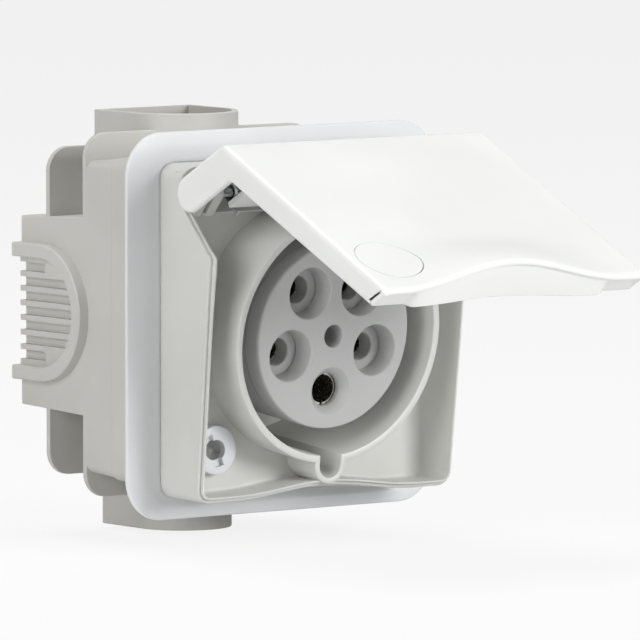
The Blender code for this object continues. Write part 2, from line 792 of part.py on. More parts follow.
def rear_hollow():
    """The space behind the floor, inside a foot wall that stands on the cover frame."""
    inset = HOUSING_WALL
    outline = rounded_rectangle(HOUSING_HALF - inset, -HOUSING_BOTTOM + inset + ARCH_RISE,
                                HOUSING_TOP - inset, HOUSING_CORNER, 4)
    return extruded("rear_hollow", [outline], front(FLOOR_FRONT - FLOOR_THICKNESS), 0, "Y")


def build_housing():
    housing = housing_shell("socket_housing", 0, housing_profile(LIP_HEIGHT), SEAT_Y - GAP)
    join(housing, housing_shell("inner_lip", SHELF_WIDTH, lip_profile(), front(FLOOR_FRONT / 2)))
    cut(housing, housing_cavity(), rear_hollow())
    join(housing, shroud_tube())
    for side in (-1, 1):
        join(housing, screw_boss(side))
    for span in lug_positions():
        join(housing, hinge_lug(span))
    cut(housing, *shroud_bore())
    for side in (-1, 1):
        cut(housing, screw_passage(side))
    cut(housing, pin_hole(PIN_RADIUS + PIN_PLAY))
    finish_part(housing, housing_plastic)


# Contact insert, carrier and contacts
def pin_places():
    """Each contact's name and its place on the insert's face; the earth is at six o'clock."""
    names = ("contact_earth", "contact_neutral", "contact_line_1", "contact_line_2", "contact_line_3")
    places = {}
    for i, name in enumerate(names):
        angle = math.radians(-90 + 72 * i)
        places[name] = (PITCH_RADIUS * math.cos(angle), PITCH_RADIUS * math.sin(angle))
    return places


def is_earth(name):
    return name == "contact_earth"


def bore_at(name, profile, place, segments=20):
    bore = turned(name, profile, segments)
    bore.data.transform(Matrix.Translation((place[0], 0, place[1])))
    return tilted(bore)


def sleeve_radius(name):
    pin = EARTH_PIN if is_earth(name) else LINE_PIN
    return pin / 2 + PIN_PLAY, pin / 2 + PIN_PLAY + SLEEVE_WALL


def sleeve_start(name):
    return EARTH_SLEEVE_START if is_earth(name) else LINE_SLEEVE_START


def insert_back():
    return SHROUD_DEPTH + SHROUD_FLOOR


def recess_cone(mouth_radius, floor_radius, depth, past):
    """The side of a recess, carried on past the insert's face and past a depth."""
    slope = (mouth_radius - floor_radius) / depth
    return [(0, -past), (mouth_radius + slope * past, -past), (floor_radius - slope * past, depth + past)]


def build_insert():
    """The face that the plug meets; its line recesses go through to the block behind it."""
    edge = 0.001
    back = LINE_RECESS_DEPTH
    insert = turned("contact_insert", [(0, 0), (INSERT_RADIUS, 0), (INSERT_RADIUS, back), (0, back)], 40)
    past = back + edge
    for name, place in pin_places().items():
        if is_earth(name):
            radius = sleeve_radius(name)[1] + GAP
            start = EARTH_SLEEVE_START - GAP
            profile = [(0, -edge)] + recess_cone(EARTH_SINK_RADIUS, EARTH_HOLE_RADIUS, EARTH_SINK_DEPTH, edge)[1:2]
            profile += [(EARTH_HOLE_RADIUS, EARTH_SINK_DEPTH), (EARTH_HOLE_RADIUS, start), (radius, start),
                        (radius, past), (0, past)]
        else:
            profile = recess_cone(LINE_RECESS_RADIUS, LINE_RECESS_FLOOR_RADIUS, LINE_RECESS_DEPTH, edge)
            profile.append((0, past))
        cut(insert, bore_at(name + "_recess", profile, place))
    centre = [(0, -edge), (CENTRE_HOLE_RADIUS, -edge), (CENTRE_HOLE_RADIUS, past), (0, past)]
    cut(insert, bore_at("centre_hole", centre, (0, 0), 18))
    finish_part(tilted(insert), insert_plastic)


def build_contact_block():
    """The block behind the insert's face, with a bore for each sleeve."""
    edge = 0.001
    start = LINE_RECESS_DEPTH + GAP
    back = insert_back()
    block_body = turned("contact_block", [(0, start), (INSERT_RADIUS, start), (INSERT_RADIUS, back), (0, back)], 40)
    low = start - edge
    past = back + edge
    for name, place in pin_places().items():
        radius = sleeve_radius(name)[1] + GAP
        bore = [(0, low), (radius, low), (radius, past), (0, past)]
        cut(block_body, bore_at(name + "_bore", bore, place, 14))
    radius = CENTRE_SCREW_RADIUS + GAP
    centre = [(0, low), (CENTRE_HOLE_RADIUS, low), (CENTRE_HOLE_RADIUS, CENTRE_HOLE_DEPTH),
              (radius, CENTRE_HOLE_DEPTH), (radius, past), (0, past)]
    cut(block_body, bore_at("centre_bore", centre, (0, 0), 18))
    radius = CARRIER_SCREW_RADIUS + GAP
    bottom = carrier_screw_tip() - CARRIER_SCREW_RADIUS
    for place in carrier_screw_places():
        profile = [(0, bottom), (radius, bottom), (radius, past), (0, past)]
        cut(block_body, bore_at("carrier_screw_bore", profile, place, 8))
    finish_part(tilted(block_body), insert_plastic)


def carrier_screw_places():
    """Between the earth and its neighbours, on the pitch circle's outside."""
    radius = PITCH_RADIUS + SLEEVE_WALL * 4
    places = []
    for side in (-1, 1):
        angle = math.radians(-90 + side * 36)
        places.append((radius * math.cos(angle), radius * math.sin(angle)))
    return places


def carrier_screw_tip():
    return insert_back() + GAP + CARRIER_THICKNESS + GAP - CARRIER_SCREW_LENGTH


def build_carrier():
    """The moulding that holds the sleeves; its flange hooks behind the shroud's floor."""
    start = insert_back() + GAP
    back = start + CARRIER_THICKNESS
    wide = INSERT_RADIUS + CARRIER_FLANGE_OVERLAP
    carrier = turned("contact_carrier", [(0, start), (wide, start), (wide, start + CARRIER_FLANGE),
                                         (INSERT_RADIUS, start + CARRIER_FLANGE), (INSERT_RADIUS, back),
                                         (0, back)], 40)
    low = start - 0.001
    past = back + 0.001
    for name, place in pin_places().items():
        outer = max(sleeve_radius(name)[1], TERMINAL_RADIUS) + GAP
        cut(carrier, bore_at(name + "_seat", [(0, low), (outer, low), (outer, past), (0, past)], place))
    cut(carrier, bore_at("centre_seat", [(0, low), (CENTRE_SCREW_RADIUS + GAP, low),
                                         (CENTRE_SCREW_RADIUS + GAP, past), (0, past)], (0, 0), 16))
    for place in carrier_screw_places():
        cut(carrier, bore_at("carrier_screw_way", [(0, low), (CARRIER_SCREW_RADIUS + GAP, low),
                                                   (CARRIER_SCREW_RADIUS + GAP, past), (0, past)], place, 12))
    finish_part(tilted(carrier), carrier_plastic)


def terminal_span():
    """Where the terminals start and end behind the carrier."""
    start = insert_back() + GAP + CARRIER_THICKNESS + GAP
    return start, start + TERMINAL_LENGTH


def build_contacts():
    start, end = terminal_span()
    middle = (start + end) / 2
    for name, place in pin_places().items():
        inner, outer = sleeve_radius(name)
        head = sleeve_start(name)
        body = max(outer, TERMINAL_RADIUS)
        shoulder = insert_back() + GAP
        bore_end = shoulder - SLEEVE_WALL
        profile = [(0, bore_end), (inner, bore_end), (inner, head), (outer, head)]
        if body > outer:
            profile += [(outer, shoulder), (body, shoulder)]
        contact = turned(name, profile + [(body, end), (0, end)], 20)
        contact.data.transform(Matrix.Translation((place[0], 0, place[1])))
        slit = SLEEVE_SLIT
        length = (shoulder - head) * 0.6
        low = (place[0] - slit / 2, head - 0.001, place[1] - outer * 1.5)
        high = (place[0] + slit / 2, head + length, place[1] + outer * 1.5)
        cut(contact, tilted(block(name + "_slit", low, high)))
        profile = [(0, start), (WIRE_BORE_RADIUS, start), (WIRE_BORE_RADIUS, end * 2), (0, end * 2)]
        wire = turned(name + "_wire_bore", profile, 12)
        turn = Matrix.Rotation(math.radians(7), 4, "Y")
        wire.data.transform(Matrix.Translation((place[0], 0, place[1])) @ turn)
        cut(contact, tilted(wire))
        radius = TERMINAL_SCREW_RADIUS + GAP
        reach = body * 2
        screw_way = turned(name + "_screw_way", [(0, 0), (radius, 0), (radius, reach), (0, reach)], 12)
        screw_way.data.transform(terminal_placement(place, middle))
        cut(contact, tilted(screw_way))
        finish_part(tilted(contact), brass)
        screw_head = body + TERMINAL_SCREW_RADIUS
        foot = screw_head - TERMINAL_SCREW_LENGTH
        screw = turned(name.replace("contact", "terminal_screw"),
                       [(0, foot), (TERMINAL_SCREW_RADIUS, foot), (TERMINAL_SCREW_RADIUS, screw_head),
                        (0, screw_head)], 12)
        floor = screw_head - TERMINAL_SCREW_RADIUS / 2
        slot = block("driver_slot", (-TERMINAL_SCREW_RADIUS * 2, floor, -0.0003),
                     (TERMINAL_SCREW_RADIUS * 2, screw_head + 0.001, 0.0003))
        placement = terminal_placement(place, middle)
        screw.data.transform(placement)
        slot.data.transform(placement)
        cut(screw, tilted(slot))
        finish_part(tilted(screw), steel)


def terminal_placement(place, middle):
    """Turn a piece made along +Y to point outwards from the socket's axis at a terminal."""
    angle = math.atan2(place[1], place[0])
    turn = Matrix.Rotation(-angle, 4, "Y") @ Matrix.Rotation(math.radians(-90), 4, "Z")
    return Matrix.Translation((place[0], middle, place[1])) @ turn


def build_centre_screw():
    start = CENTRE_HOLE_DEPTH - GAP
    head = start - CENTRE_SCREW_HEAD_THICKNESS
    end = insert_back() + CARRIER_THICKNESS
    screw = turned("centre_screw", [(0, head), (CENTRE_SCREW_HEAD, head), (CENTRE_SCREW_HEAD, start),
                                    (CENTRE_SCREW_RADIUS, start), (CENTRE_SCREW_RADIUS, end), (0, end)], 16)
    width = CENTRE_SCREW_HEAD / 3
    slot = block("centre_slot", (-CENTRE_SCREW_HEAD * 2, head - 0.001, -width / 2),
                 (CENTRE_SCREW_HEAD * 2, head + CENTRE_SCREW_HEAD_THICKNESS / 2, width / 2))
    cut(screw, tilted(slot))
    finish_part(tilted(screw), steel)


def build_carrier_screws():
    names = ("carrier_screw_left", "carrier_screw_right")
    tip = carrier_screw_tip()
    seat = tip + CARRIER_SCREW_LENGTH
    head = seat + CARRIER_SCREW_HEAD_THICKNESS
    for name, place in zip(names, carrier_screw_places()):
        screw = turned(name, [(0, tip), (CARRIER_SCREW_RADIUS, tip), (CARRIER_SCREW_RADIUS, seat),
                              (CARRIER_SCREW_HEAD, seat), (CARRIER_SCREW_HEAD, head), (0, head)], 12)
        width = CARRIER_SCREW_HEAD / 3
        floor = head - CARRIER_SCREW_HEAD_THICKNESS / 2
        slot = block(name + "_slot", (-CARRIER_SCREW_HEAD * 2, floor, -width / 2),
                     (CARRIER_SCREW_HEAD * 2, head + 0.001, width / 2))
        for piece in (screw, slot):
            piece.data.transform(Matrix.Translation((place[0], 0, place[1])))
        cut(screw, tilted(slot))
        finish_part(tilted(screw), steel)


# Quarter-turn screws
def slot_outline():
    """A stepped slot, like a Z: two half slots side by side."""
    half = SLOT_LENGTH / 2
    step = SLOT_WIDTH / 2
    return [(-step * 1.6, half), (-step * 1.6, 0), (-step * 0.6, 0), (-step * 0.6, -half),
            (step * 1.6, -half), (step * 1.6, 0), (step * 0.6, 0), (step * 0.6, half)]


def build_turn_screws():
    for side, name in ((-1, "quarter_turn_screw_lower"), (1, "quarter_turn_screw_upper")):
        x, z = catch_position(side)
        face = front(FLOOR_FRONT + TURN_SCREW_STANDS)
        seat = face + TURN_SCREW_HEAD_THICKNESS
        cam_front = front(-CATCH_DEPTH) + CATCH_THICKNESS + GAP
        cam_back = cam_front + TURN_CAM_THICKNESS
        end = cam_back + TURN_CAM_THICKNESS / 4
        chamfer = TURN_SCREW_HEAD_THICKNESS / 4
        profile = [(0, 0), (TURN_SCREW_HEAD - chamfer, 0), (TURN_SCREW_HEAD, chamfer),
                   (TURN_SCREW_HEAD, seat - face), (TURN_SCREW_SHANK, seat - face),
                   (TURN_SCREW_SHANK, end - face), (0, end - face)]
        screw = turned(name, profile, 24)
        cam_half = TURN_SCREW_SHANK * 0.8
        cam_ends = sorted((-side * TURN_CAM_REACH, side * TURN_SCREW_SHANK / 3))
        cam = block(name + "_cam", (-cam_half, cam_front - face, cam_ends[0]),
                    (cam_half, cam_back - face, cam_ends[1]))
        slot = extruded(name + "_slot", [slot_outline()], -0.001, SLOT_DEPTH, "Y")
        profile = [(0, -0.001), (TURN_BORE_RADIUS, -0.001), (TURN_BORE_RADIUS, TURN_BORE_DEPTH),
                   (0, TURN_BORE_DEPTH)]
        bore = turned(name + "_bore", profile, 16)
        for piece in (cam, slot, bore):
            piece.parent = screw
        join(screw, cam)
        cut(screw, slot, bore)
        finish_part(screw, screw_plastic)
        screw.location = (x, face, z)


# Hinge pin, spring, lid and lid seal
def hinge_point():
    return Vector((0, front(HINGE_FRONT), HINGE_HEIGHT))


def build_hinge_pin():
    half = LID_WIDTH / 2 - LID_WALL / 2 - GAP
    pin = turned("hinge_pin", [(0, -half), (PIN_RADIUS, -half), (PIN_RADIUS, half), (0, half)], 16)
    pin.data.transform(Matrix.Rotation(math.radians(90), 4, "Z"))
    pin.location = hinge_point()
    finish_part(pin, steel)


def build_spring():
    """Coils round the pin, with one leg above the housing's web and one under the lid's roof."""
    wire = SPRING_WIRE / 2
    radius = PIN_RADIUS + SPRING_CLEARANCE + wire
    pitch = SPRING_WIRE * 1.15
    lid_slope = LEG_SLOPE - LID_OPEN_ANGLE
    first_angle = LEG_SLOPE - math.pi / 2
    last_angle = 2 * math.pi * SPRING_TURNS + math.pi / 2 + lid_slope
    steps = 12 * SPRING_TURNS + 3
    points = []
    for i in range(steps + 1):
        turn = i / steps
        angle = first_angle + (last_angle - first_angle) * turn
        x = SPRING_PLACE + pitch * SPRING_TURNS * (turn - 0.5)
        points.append(Vector((x, radius * math.cos(angle), radius * math.sin(angle))))
    down = Vector((0, -math.cos(LEG_SLOPE), -math.sin(LEG_SLOPE)))
    up = Vector((0, -math.cos(lid_slope), -math.sin(lid_slope)))
    tail = [points[0] + down * SPRING_LEG, points[0] + down * SPRING_LEG * 0.5]
    nose = [points[-1] + up * SPRING_LEG * 0.5, points[-1] + up * SPRING_LEG]
    curve = bpy.data.curves.new("lid_spring", "CURVE")
    curve.dimensions = "3D"
    curve.bevel_depth = wire
    curve.bevel_resolution = 1
    curve.use_fill_caps = True
    spline = curve.splines.new("POLY")
    route = tail + points + nose
    spline.points.add(len(route) - 1)
    for point, place in zip(spline.points, route):
        point.co = (*place, 1)
    spring = add_object("lid_spring", curve)
    bpy.context.view_layer.update()
    spring = as_mesh(spring)
    spring.location = hinge_point()
    finish_part(spring, steel)


def lid_frame():
    """The closed lid's directions, as (Y, Z): along its leg, out of it, down its plate, out of it."""
    leg = Vector((-math.cos(LEG_SLOPE), -math.sin(LEG_SLOPE)))
    leg_out = Vector((-math.sin(LEG_SLOPE), math.cos(LEG_SLOPE)))
    plate = Vector((math.sin(SOCKET_TILT), -math.cos(SOCKET_TILT)))
    plate_out = Vector((-math.cos(SOCKET_TILT), -math.sin(SOCKET_TILT)))
    return leg, leg_out, plate, plate_out


def meet(point_a, along_a, point_b, along_b):
    """Where two lines in a plane cross."""
    cross = along_a.x * along_b.y - along_a.y * along_b.x
    gap = point_b - point_a
    t = (gap.x * along_b.y - gap.y * along_b.x) / cross
    return point_a + along_a * t


def plate_corner():
    leg, leg_out, plate, plate_out = lid_frame()
    return leg_out * LEG_HALF + leg * LEG_LENGTH


def swell(x, half_width):
    """1 in the middle of the lid's free edge, easing to 0 at a half width."""
    if abs(x) >= half_width:
        return 0.0
    return 0.5 * (1 + math.cos(math.pi * x / half_width))


def foot_length(x):
    """How far the end skirt's lower edge lies from the lid's corner; it follows the housing's arch."""
    if abs(x) > END_SKIRT_HALF_WIDTH:
        return LID_LENGTH - LID_CORNER_TUCK
    return LID_LENGTH - LID_END_TUCK - ARCH_RISE * swell(x, ARCH_HALF_WIDTH)


def lid_outer_section(x, shrink=0.0):
    """The lid's solid side outline at one X, closed, about the hinge axis."""
    leg, leg_out, plate, plate_out = lid_frame()
    corner = plate_corner()
    half = LEG_HALF - shrink
    grip = swell(x, GRIP_HALF_WIDTH)
    end = LID_LENGTH - GRIP_SETBACK * grip - shrink
    points = []
    for i in range(9):
        angle = math.pi * i / 8
        points.append(leg_out * (-half * math.cos(angle)) - leg * (half * math.sin(angle)))
    round_off = 0.0016
    points.append(corner - leg_out * shrink - leg * round_off)
    points.append(corner + (leg * -0.25 + plate * 0.25) * round_off - (leg_out + plate_out) * shrink / 2)
    points.append(corner - plate_out * shrink + plate * round_off)
    steps = 5
    for i in range(steps + 1):
        t = i / steps
        rise = GRIP_RISE * grip * t * t * (3 - 2 * t)
        along = end - LID_EDGE_ROUND - GRIP_RUN * (1 - t)
        points.append(corner + plate_out * (rise - shrink) + plate * along)
    rise = GRIP_RISE * grip
    points.append(corner + plate_out * (rise - shrink - LID_EDGE_ROUND) + plate * end)
    points.append(corner - plate_out * LID_SKIRT_END + plate * (foot_length(x) - shrink))
    points.append(meet(corner - plate_out * LID_SKIRT, plate, leg_out * -LEG_HALF, leg))
    return [(x, p.x, p.y) for p in points]


def lid_inner_section(x):
    """The hollow's side outline at one X, reaching past the skirt's edge and the hinge end."""
    leg, leg_out, plate, plate_out = lid_frame()
    corner = plate_corner()
    wall = LID_WALL
    end = foot_length(x) - wall
    reach = LEG_HALF * 2
    roof = LEG_HALF - wall
    inside = meet(leg_out * roof, leg, corner - plate_out * wall, plate)
    below = meet(corner - plate_out * (LID_SKIRT + wall), plate, leg_out * -(LEG_HALF + wall), leg)
    points = [
        leg_out * roof - leg * reach,
        inside,
        corner - plate_out * wall + plate * end,
        corner - plate_out * (LID_SKIRT + wall) + plate * end,
        below,
        leg_out * -(LEG_HALF + wall) - leg * reach,
    ]
    return [(x, p.x, p.y) for p in points]


def lid_rebate_section(x):
    """The step inside the skirt's edge that clears the housing's lip, as a side outline at one X."""
    leg, leg_out, plate, plate_out = lid_frame()
    corner = plate_corner()
    high = corner - plate_out * (LID_SKIRT - REBATE_DEPTH)
    low = corner - plate_out * (LID_SKIRT + LID_WALL)
    end = plate * (foot_length(x) - REBATE_END_WALL)
    points = [meet(high, plate, leg_out * -LEG_HALF, leg), high + end, low + end,
              meet(low, plate, leg_out * -LEG_HALF, leg)]
    return [(x, p.x, p.y) for p in points]


def lid_stations(half, edge=0.0):
    """X places for the lid's sections, with a short step where the end skirt's tabs begin."""
    tab = END_SKIRT_HALF_WIDTH
    stations = [tab * i / 6 for i in range(7)] + [tab + LID_EDGE_ROUND, GRIP_HALF_WIDTH]
    stations += [half - edge, half] if edge else [half]
    return [-x for x in reversed(stations[1:])] + stations


def build_lid():
    half = LID_WIDTH / 2
    edge = 0.0006
    sections = []
    for x in lid_stations(half, edge):
        shrink = edge * 0.6 if abs(x) == half else 0.0
        sections.append(lid_outer_section(x, shrink))
    lid = lofted("lid", sections)
    hollow = lofted("lid_hollow", [lid_inner_section(x) for x in lid_stations(half - LID_WALL)])
    rebate = lofted("lid_rebate", [lid_rebate_section(x) for x in lid_stations(half - REBATE_WALL)])
    bosses = []
    inner = half - LID_WALL
    for side in (-1, 1):
        span = sorted((side * (inner + LID_WALL / 2), side * (inner - BOSS_LENGTH)))
        boss = extruded("pivot_boss", [arc((0, 0), LUG_RADIUS, 0, 345, 23)], span[0], span[1], "X")
        bosses.append(boss)
    pin_half = half - LID_WALL / 2
    way = turned("pivot_hole", [(0, -pin_half), (PIN_RADIUS + PIN_PLAY, -pin_half),
                                (PIN_RADIUS + PIN_PLAY, pin_half), (0, pin_half)], 16)
    way.data.transform(Matrix.Rotation(math.radians(90), 4, "Z"))
    for piece in [hollow, rebate, way] + bosses:
        piece.parent = lid_hinge
    lid.parent = lid_hinge
    cut(lid, hollow, rebate)
    join(lid, *bosses)
    cut(lid, way)
    finish_part(lid, lid_plastic)


def clipped_circle(radius, top):
    """A circle in the XZ plane whose top is cut off straight."""
    start = math.degrees(math.asin(top / radius))
    return arc((0, 0), radius, 180 - start, 360 + start, 36)


def build_lid_seal():
    """A flat ring inside the lid that closes on the shroud's rim, straight below the lid's leg."""
    leg, leg_out, plate, plate_out = lid_frame()
    corner = plate_corner()
    face = Vector((front(FACE_FRONT), -FACE_DROP)) - Vector((front(HINGE_FRONT), HINGE_HEIGHT))
    down = (face - corner).dot(plate)
    top = down - SEAL_TOP_MARGIN
    outer = clipped_circle(SEAL_INNER + SEAL_WIDTH, top)
    inner = clipped_circle(SEAL_INNER, top - SEAL_WIDTH)
    low = LID_WALL + GAP
    seal = extruded("lid_seal", [outer, inner], low, low + SEAL_THICKNESS, "Y")
    centre = corner + plate * down
    seal.data.transform(Matrix.Rotation(SOCKET_TILT, 4, "X"))
    seal.data.transform(Matrix.Translation((0, centre.x, centre.y)))
    seal.parent = lid_hinge
    finish_part(seal, seal_rubber)


clear_scene()
socket = new_collection("wall_socket")
guides = new_collection("cutters")

box_plastic = make_material("box_plastic", (0.58, 0.57, 0.54), 0.55)
frame_plastic = make_material("frame_plastic", (0.80, 0.81, 0.82), 0.42)
housing_plastic = make_material("housing_plastic", (0.70, 0.70, 0.67), 0.45)
insert_plastic = make_material("insert_plastic", (0.56, 0.57, 0.57), 0.50)
carrier_plastic = make_material("carrier_plastic", (0.10, 0.10, 0.11), 0.55)
lid_plastic = make_material("lid_plastic", (0.84, 0.84, 0.83), 0.38)
screw_plastic = make_material("screw_plastic", (0.80, 0.80, 0.82), 0.40)
seal_rubber = make_material("seal_rubber", (0.05, 0.05, 0.05), 0.80)
brass = make_material("nickel_plated_brass", (0.72, 0.69, 0.62), 0.30, 1.0)
steel = make_material("zinc_plated_steel", (0.66, 0.67, 0.68), 0.32, 1.0)

socket_axis = add_object("socket_axis", None)
socket_axis.location = (0, front(FACE_FRONT), -FACE_DROP)
socket_axis.rotation_euler = (SOCKET_TILT, 0, 0)
lid_hinge = add_object("lid_hinge", None)
lid_hinge.location = hinge_point()
lid_hinge.rotation_euler = (-LID_OPEN_ANGLE, 0, 0)
bpy.context.view_layer.update()

build_wall_box()
build_cover_frame()
build_wall_gasket()
build_housing()
build_insert()
build_contact_block()
build_carrier()
build_contacts()
build_centre_screw()
build_carrier_screws()
build_turn_screws()
build_hinge_pin()
build_spring()
build_lid()
build_lid_seal()
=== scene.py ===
"""A flush-mounted industrial wall socket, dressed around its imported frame.

Lengths are millimetres until a mesh is made; then everything is metres, with +Z up, +Y into the
wall and the socket facing -Y. The origin is the centre of the wall box's flat rear face.
"""
import math

import bmesh
import bpy
from mathutils import Matrix, Vector


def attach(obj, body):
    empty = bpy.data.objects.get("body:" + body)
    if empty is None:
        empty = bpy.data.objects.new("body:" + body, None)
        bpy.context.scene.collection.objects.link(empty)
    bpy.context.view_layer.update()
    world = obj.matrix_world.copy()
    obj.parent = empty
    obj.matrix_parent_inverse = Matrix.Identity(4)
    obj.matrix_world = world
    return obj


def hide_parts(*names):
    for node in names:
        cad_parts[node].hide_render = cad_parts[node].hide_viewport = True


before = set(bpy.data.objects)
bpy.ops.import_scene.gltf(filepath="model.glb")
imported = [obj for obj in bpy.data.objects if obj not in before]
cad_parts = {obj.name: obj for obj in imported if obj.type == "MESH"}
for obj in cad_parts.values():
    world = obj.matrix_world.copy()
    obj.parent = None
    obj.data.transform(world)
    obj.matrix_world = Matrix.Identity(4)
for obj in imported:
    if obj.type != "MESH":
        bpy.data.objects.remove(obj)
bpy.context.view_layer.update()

# Wall box: the grey tub that goes into the wall, moulded in one piece from polypropylene, with two
# fins, an open D-shaped conduit spigot above and below, and a comb of thin slats on each side.
BOX_HALF = 35.5
BOX_FRONT = -60.4
REAR_HALF = 23.9
STEP = -26.1
FIN_THICK = 1.5
BODY_HALF = 39.2
MOUTH_HALF = 39.95
SOFT_EDGE = 0.2
TUB_CORNER = 2.5
COMB_CENTRE = -11.2
COMB_OUTER = 17.3
COMB_INNER = 13.7
COMB_PROUD = 3.0
COMB_PITCH = 3.7
COMB_GAP = 2.3
COMB_DEPTH = 1.45
SLAT_PROUD = 0.3


def solid(name, points, faces):
    """A closed mesh from points in millimetres, with its faces turned outwards."""
    mesh = bpy.data.meshes.new(name)
    mesh.from_pydata([[c / 1000 for c in point] for point in points], [], faces)
    work = bmesh.new()
    work.from_mesh(mesh)
    bmesh.ops.remove_doubles(work, verts=work.verts, dist=0.0000005)
    bmesh.ops.recalc_face_normals(work, faces=work.faces)
    work.to_mesh(mesh)
    work.free()
    obj = bpy.data.objects.new(name, mesh)
    bpy.context.scene.collection.objects.link(obj)
    return obj


def loft(name, rings, closed=False):
    """A skin through rings of equal point counts, capped at both ends or closed on itself."""
    count = len(rings[0])
    points = [point for ring in rings for point in ring]
    faces = []
    pairs = [(i, i + 1) for i in range(len(rings) - 1)]
    if closed:
        pairs.append((len(rings) - 1, 0))
    else:
        faces += [tuple(range(count)), tuple(range(len(points) - count, len(points)))]
    for a, b in pairs:
        for i in range(count):
            j = (i + 1) % count
            faces.append((a * count + i, a * count + j, b * count + j, b * count + i))
    return solid(name, points, faces)


def bend(centre, radius, start, end, steps):
    """Points on an arc in a plane, both ends included, angles in degrees."""
    angles = [math.radians(start + (end - start) * i / steps) for i in range(steps + 1)]
    return [(centre[0] + radius * math.cos(a), centre[1] + radius * math.sin(a)) for a in angles]


def rounded(half, low, high, radius, y, steps=8):
    """A rounded rectangle at one depth, symmetric about the middle."""
    x = half - radius
    outline = bend((x, high - radius), radius, 0, 90, steps)
    outline += bend((-x, high - radius), radius, 90, 180, steps)
    outline += bend((-x, low + radius), radius, 180, 270, steps)
    outline += bend((x, low + radius), radius, 270, 360, steps)
    return [(a, y, b) for a, b in outline]


def bake(obj):
    """Turn an object's modifiers into a plain mesh."""
    bpy.context.view_layer.update()
    graph = bpy.context.evaluated_depsgraph_get()
    mesh = bpy.data.meshes.new_from_object(obj.evaluated_get(graph))
    obj.modifiers.clear()
    obj.data = mesh
    return obj


def work_in(obj, tool, operation):
    """Join a tool to a piece, or cut it away, for good."""
    modifier = obj.modifiers.new("shape", "BOOLEAN")
    modifier.operation = operation
    modifier.object = tool
    bake(obj)
    bpy.data.objects.remove(tool, do_unlink=True)


def smooth(obj, angle=32):
    """Smooth shading, with edges sharper than an angle left crisp."""
    obj.data.shade_smooth()
    obj.data.set_sharp_from_angle(angle=math.radians(angle))
    return obj


def add_node(tree, kind, values=(), links=(), **settings):
    """Add a node with its settings, its input values and its links."""
    node = tree.nodes.new(kind)
    for name, value in settings.items():
        setattr(node, name, value)
    for name, value in dict(values).items():
        node.inputs[name].default_value = value
    for name, source in dict(links).items():
        tree.links.new(source, node.inputs[name])
    return node


def tree_output(tree, geometry, material):
    """End a geometry tree: instances made real, with the piece's material."""
    real = add_node(tree, "GeometryNodeRealizeInstances", links={0: geometry})
    dressed = add_node(tree, "GeometryNodeSetMaterial", {"Material": material},
                       {"Geometry": real.outputs[0]})
    add_node(tree, "NodeGroupOutput", links={0: dressed.outputs[0]})


def srgb(colour):
    """A hex colour as linear red, green and blue."""
    values = [int(colour[i:i + 2], 16) / 255 for i in (0, 2, 4)]
    return [v / 12.92 if v <= 0.04045 else ((v + 0.055) / 1.055) ** 2.4 for v in values]


def moulded(name, colour, shade, roughness, grain, relief):
    """A moulded thermoplastic: a slow drift of shade, and the fine skin that a spark-eroded tool leaves.

    The grain is in millimetres; a real one is near 0.1 mm and is drawn coarser so that it shows.
    """
    material = bpy.data.materials.new(name)
    material.use_nodes = True
    tree = material.node_tree
    shader = tree.nodes["Principled BSDF"]
    place = add_node(tree, "ShaderNodeTexCoord").outputs["Object"]
    drift = add_node(tree, "ShaderNodeTexNoise", {"Scale": 1000 / 38, "Detail": 3.0, "Roughness": 0.45},
                     {"Vector": place})
    mix = add_node(tree, "ShaderNodeMix", {6: (*srgb(colour), 1), 7: (*srgb(shade), 1)}, data_type="RGBA")
    ease = add_node(tree, "ShaderNodeMapRange", {"From Min": 0.35, "From Max": 0.65},
                    {"Value": drift.outputs["Fac"]})
    tree.links.new(ease.outputs["Result"], mix.inputs[0])
    tree.links.new(mix.outputs[2], shader.inputs["Base Color"])
    skin = add_node(tree, "ShaderNodeTexNoise", {"Scale": 1000 / grain, "Detail": 4.0, "Roughness": 0.6},
                    {"Vector": place})
    dull = add_node(tree, "ShaderNodeMapRange", {"To Min": roughness - 0.05, "To Max": roughness + 0.06},
                    {"Value": skin.outputs["Fac"]})
    tree.links.new(dull.outputs["Result"], shader.inputs["Roughness"])
    bump = add_node(tree, "ShaderNodeBump", {"Strength": relief, "Distance": 0.00003},
                    {"Height": skin.outputs["Fac"]})
    tree.links.new(bump.outputs["Normal"], shader.inputs["Normal"])
    shader.inputs["IOR"].default_value = 1.49
    return material


# Polypropylene, a touch waxy, with a dull tool skin.
box_plastic = moulded("polypropylene_warm_grey", "CBCAC5", "C2C1BC", 0.52, 0.9, 0.35)


def d_shape(middle, half, rear, depth, z, steps=24):
    """A D lying flat: straight towards the wall, round towards the front."""
    curve = bend((middle, rear - depth + half), half, 180, 360, steps)
    return [(x, y, z) for x, y in curve + [(middle + half, rear), (middle - half, rear)]]


def u_shape(radius, x, rear=0.0, steps=32):
    """The round-ended outline of a comb, standing on the box's side."""
    curve = bend((COMB_CENTRE, 0), radius, 90, 270, steps)
    return [(x, y, z) for y, z in [(rear, radius)] + curve + [(rear, -radius)]]


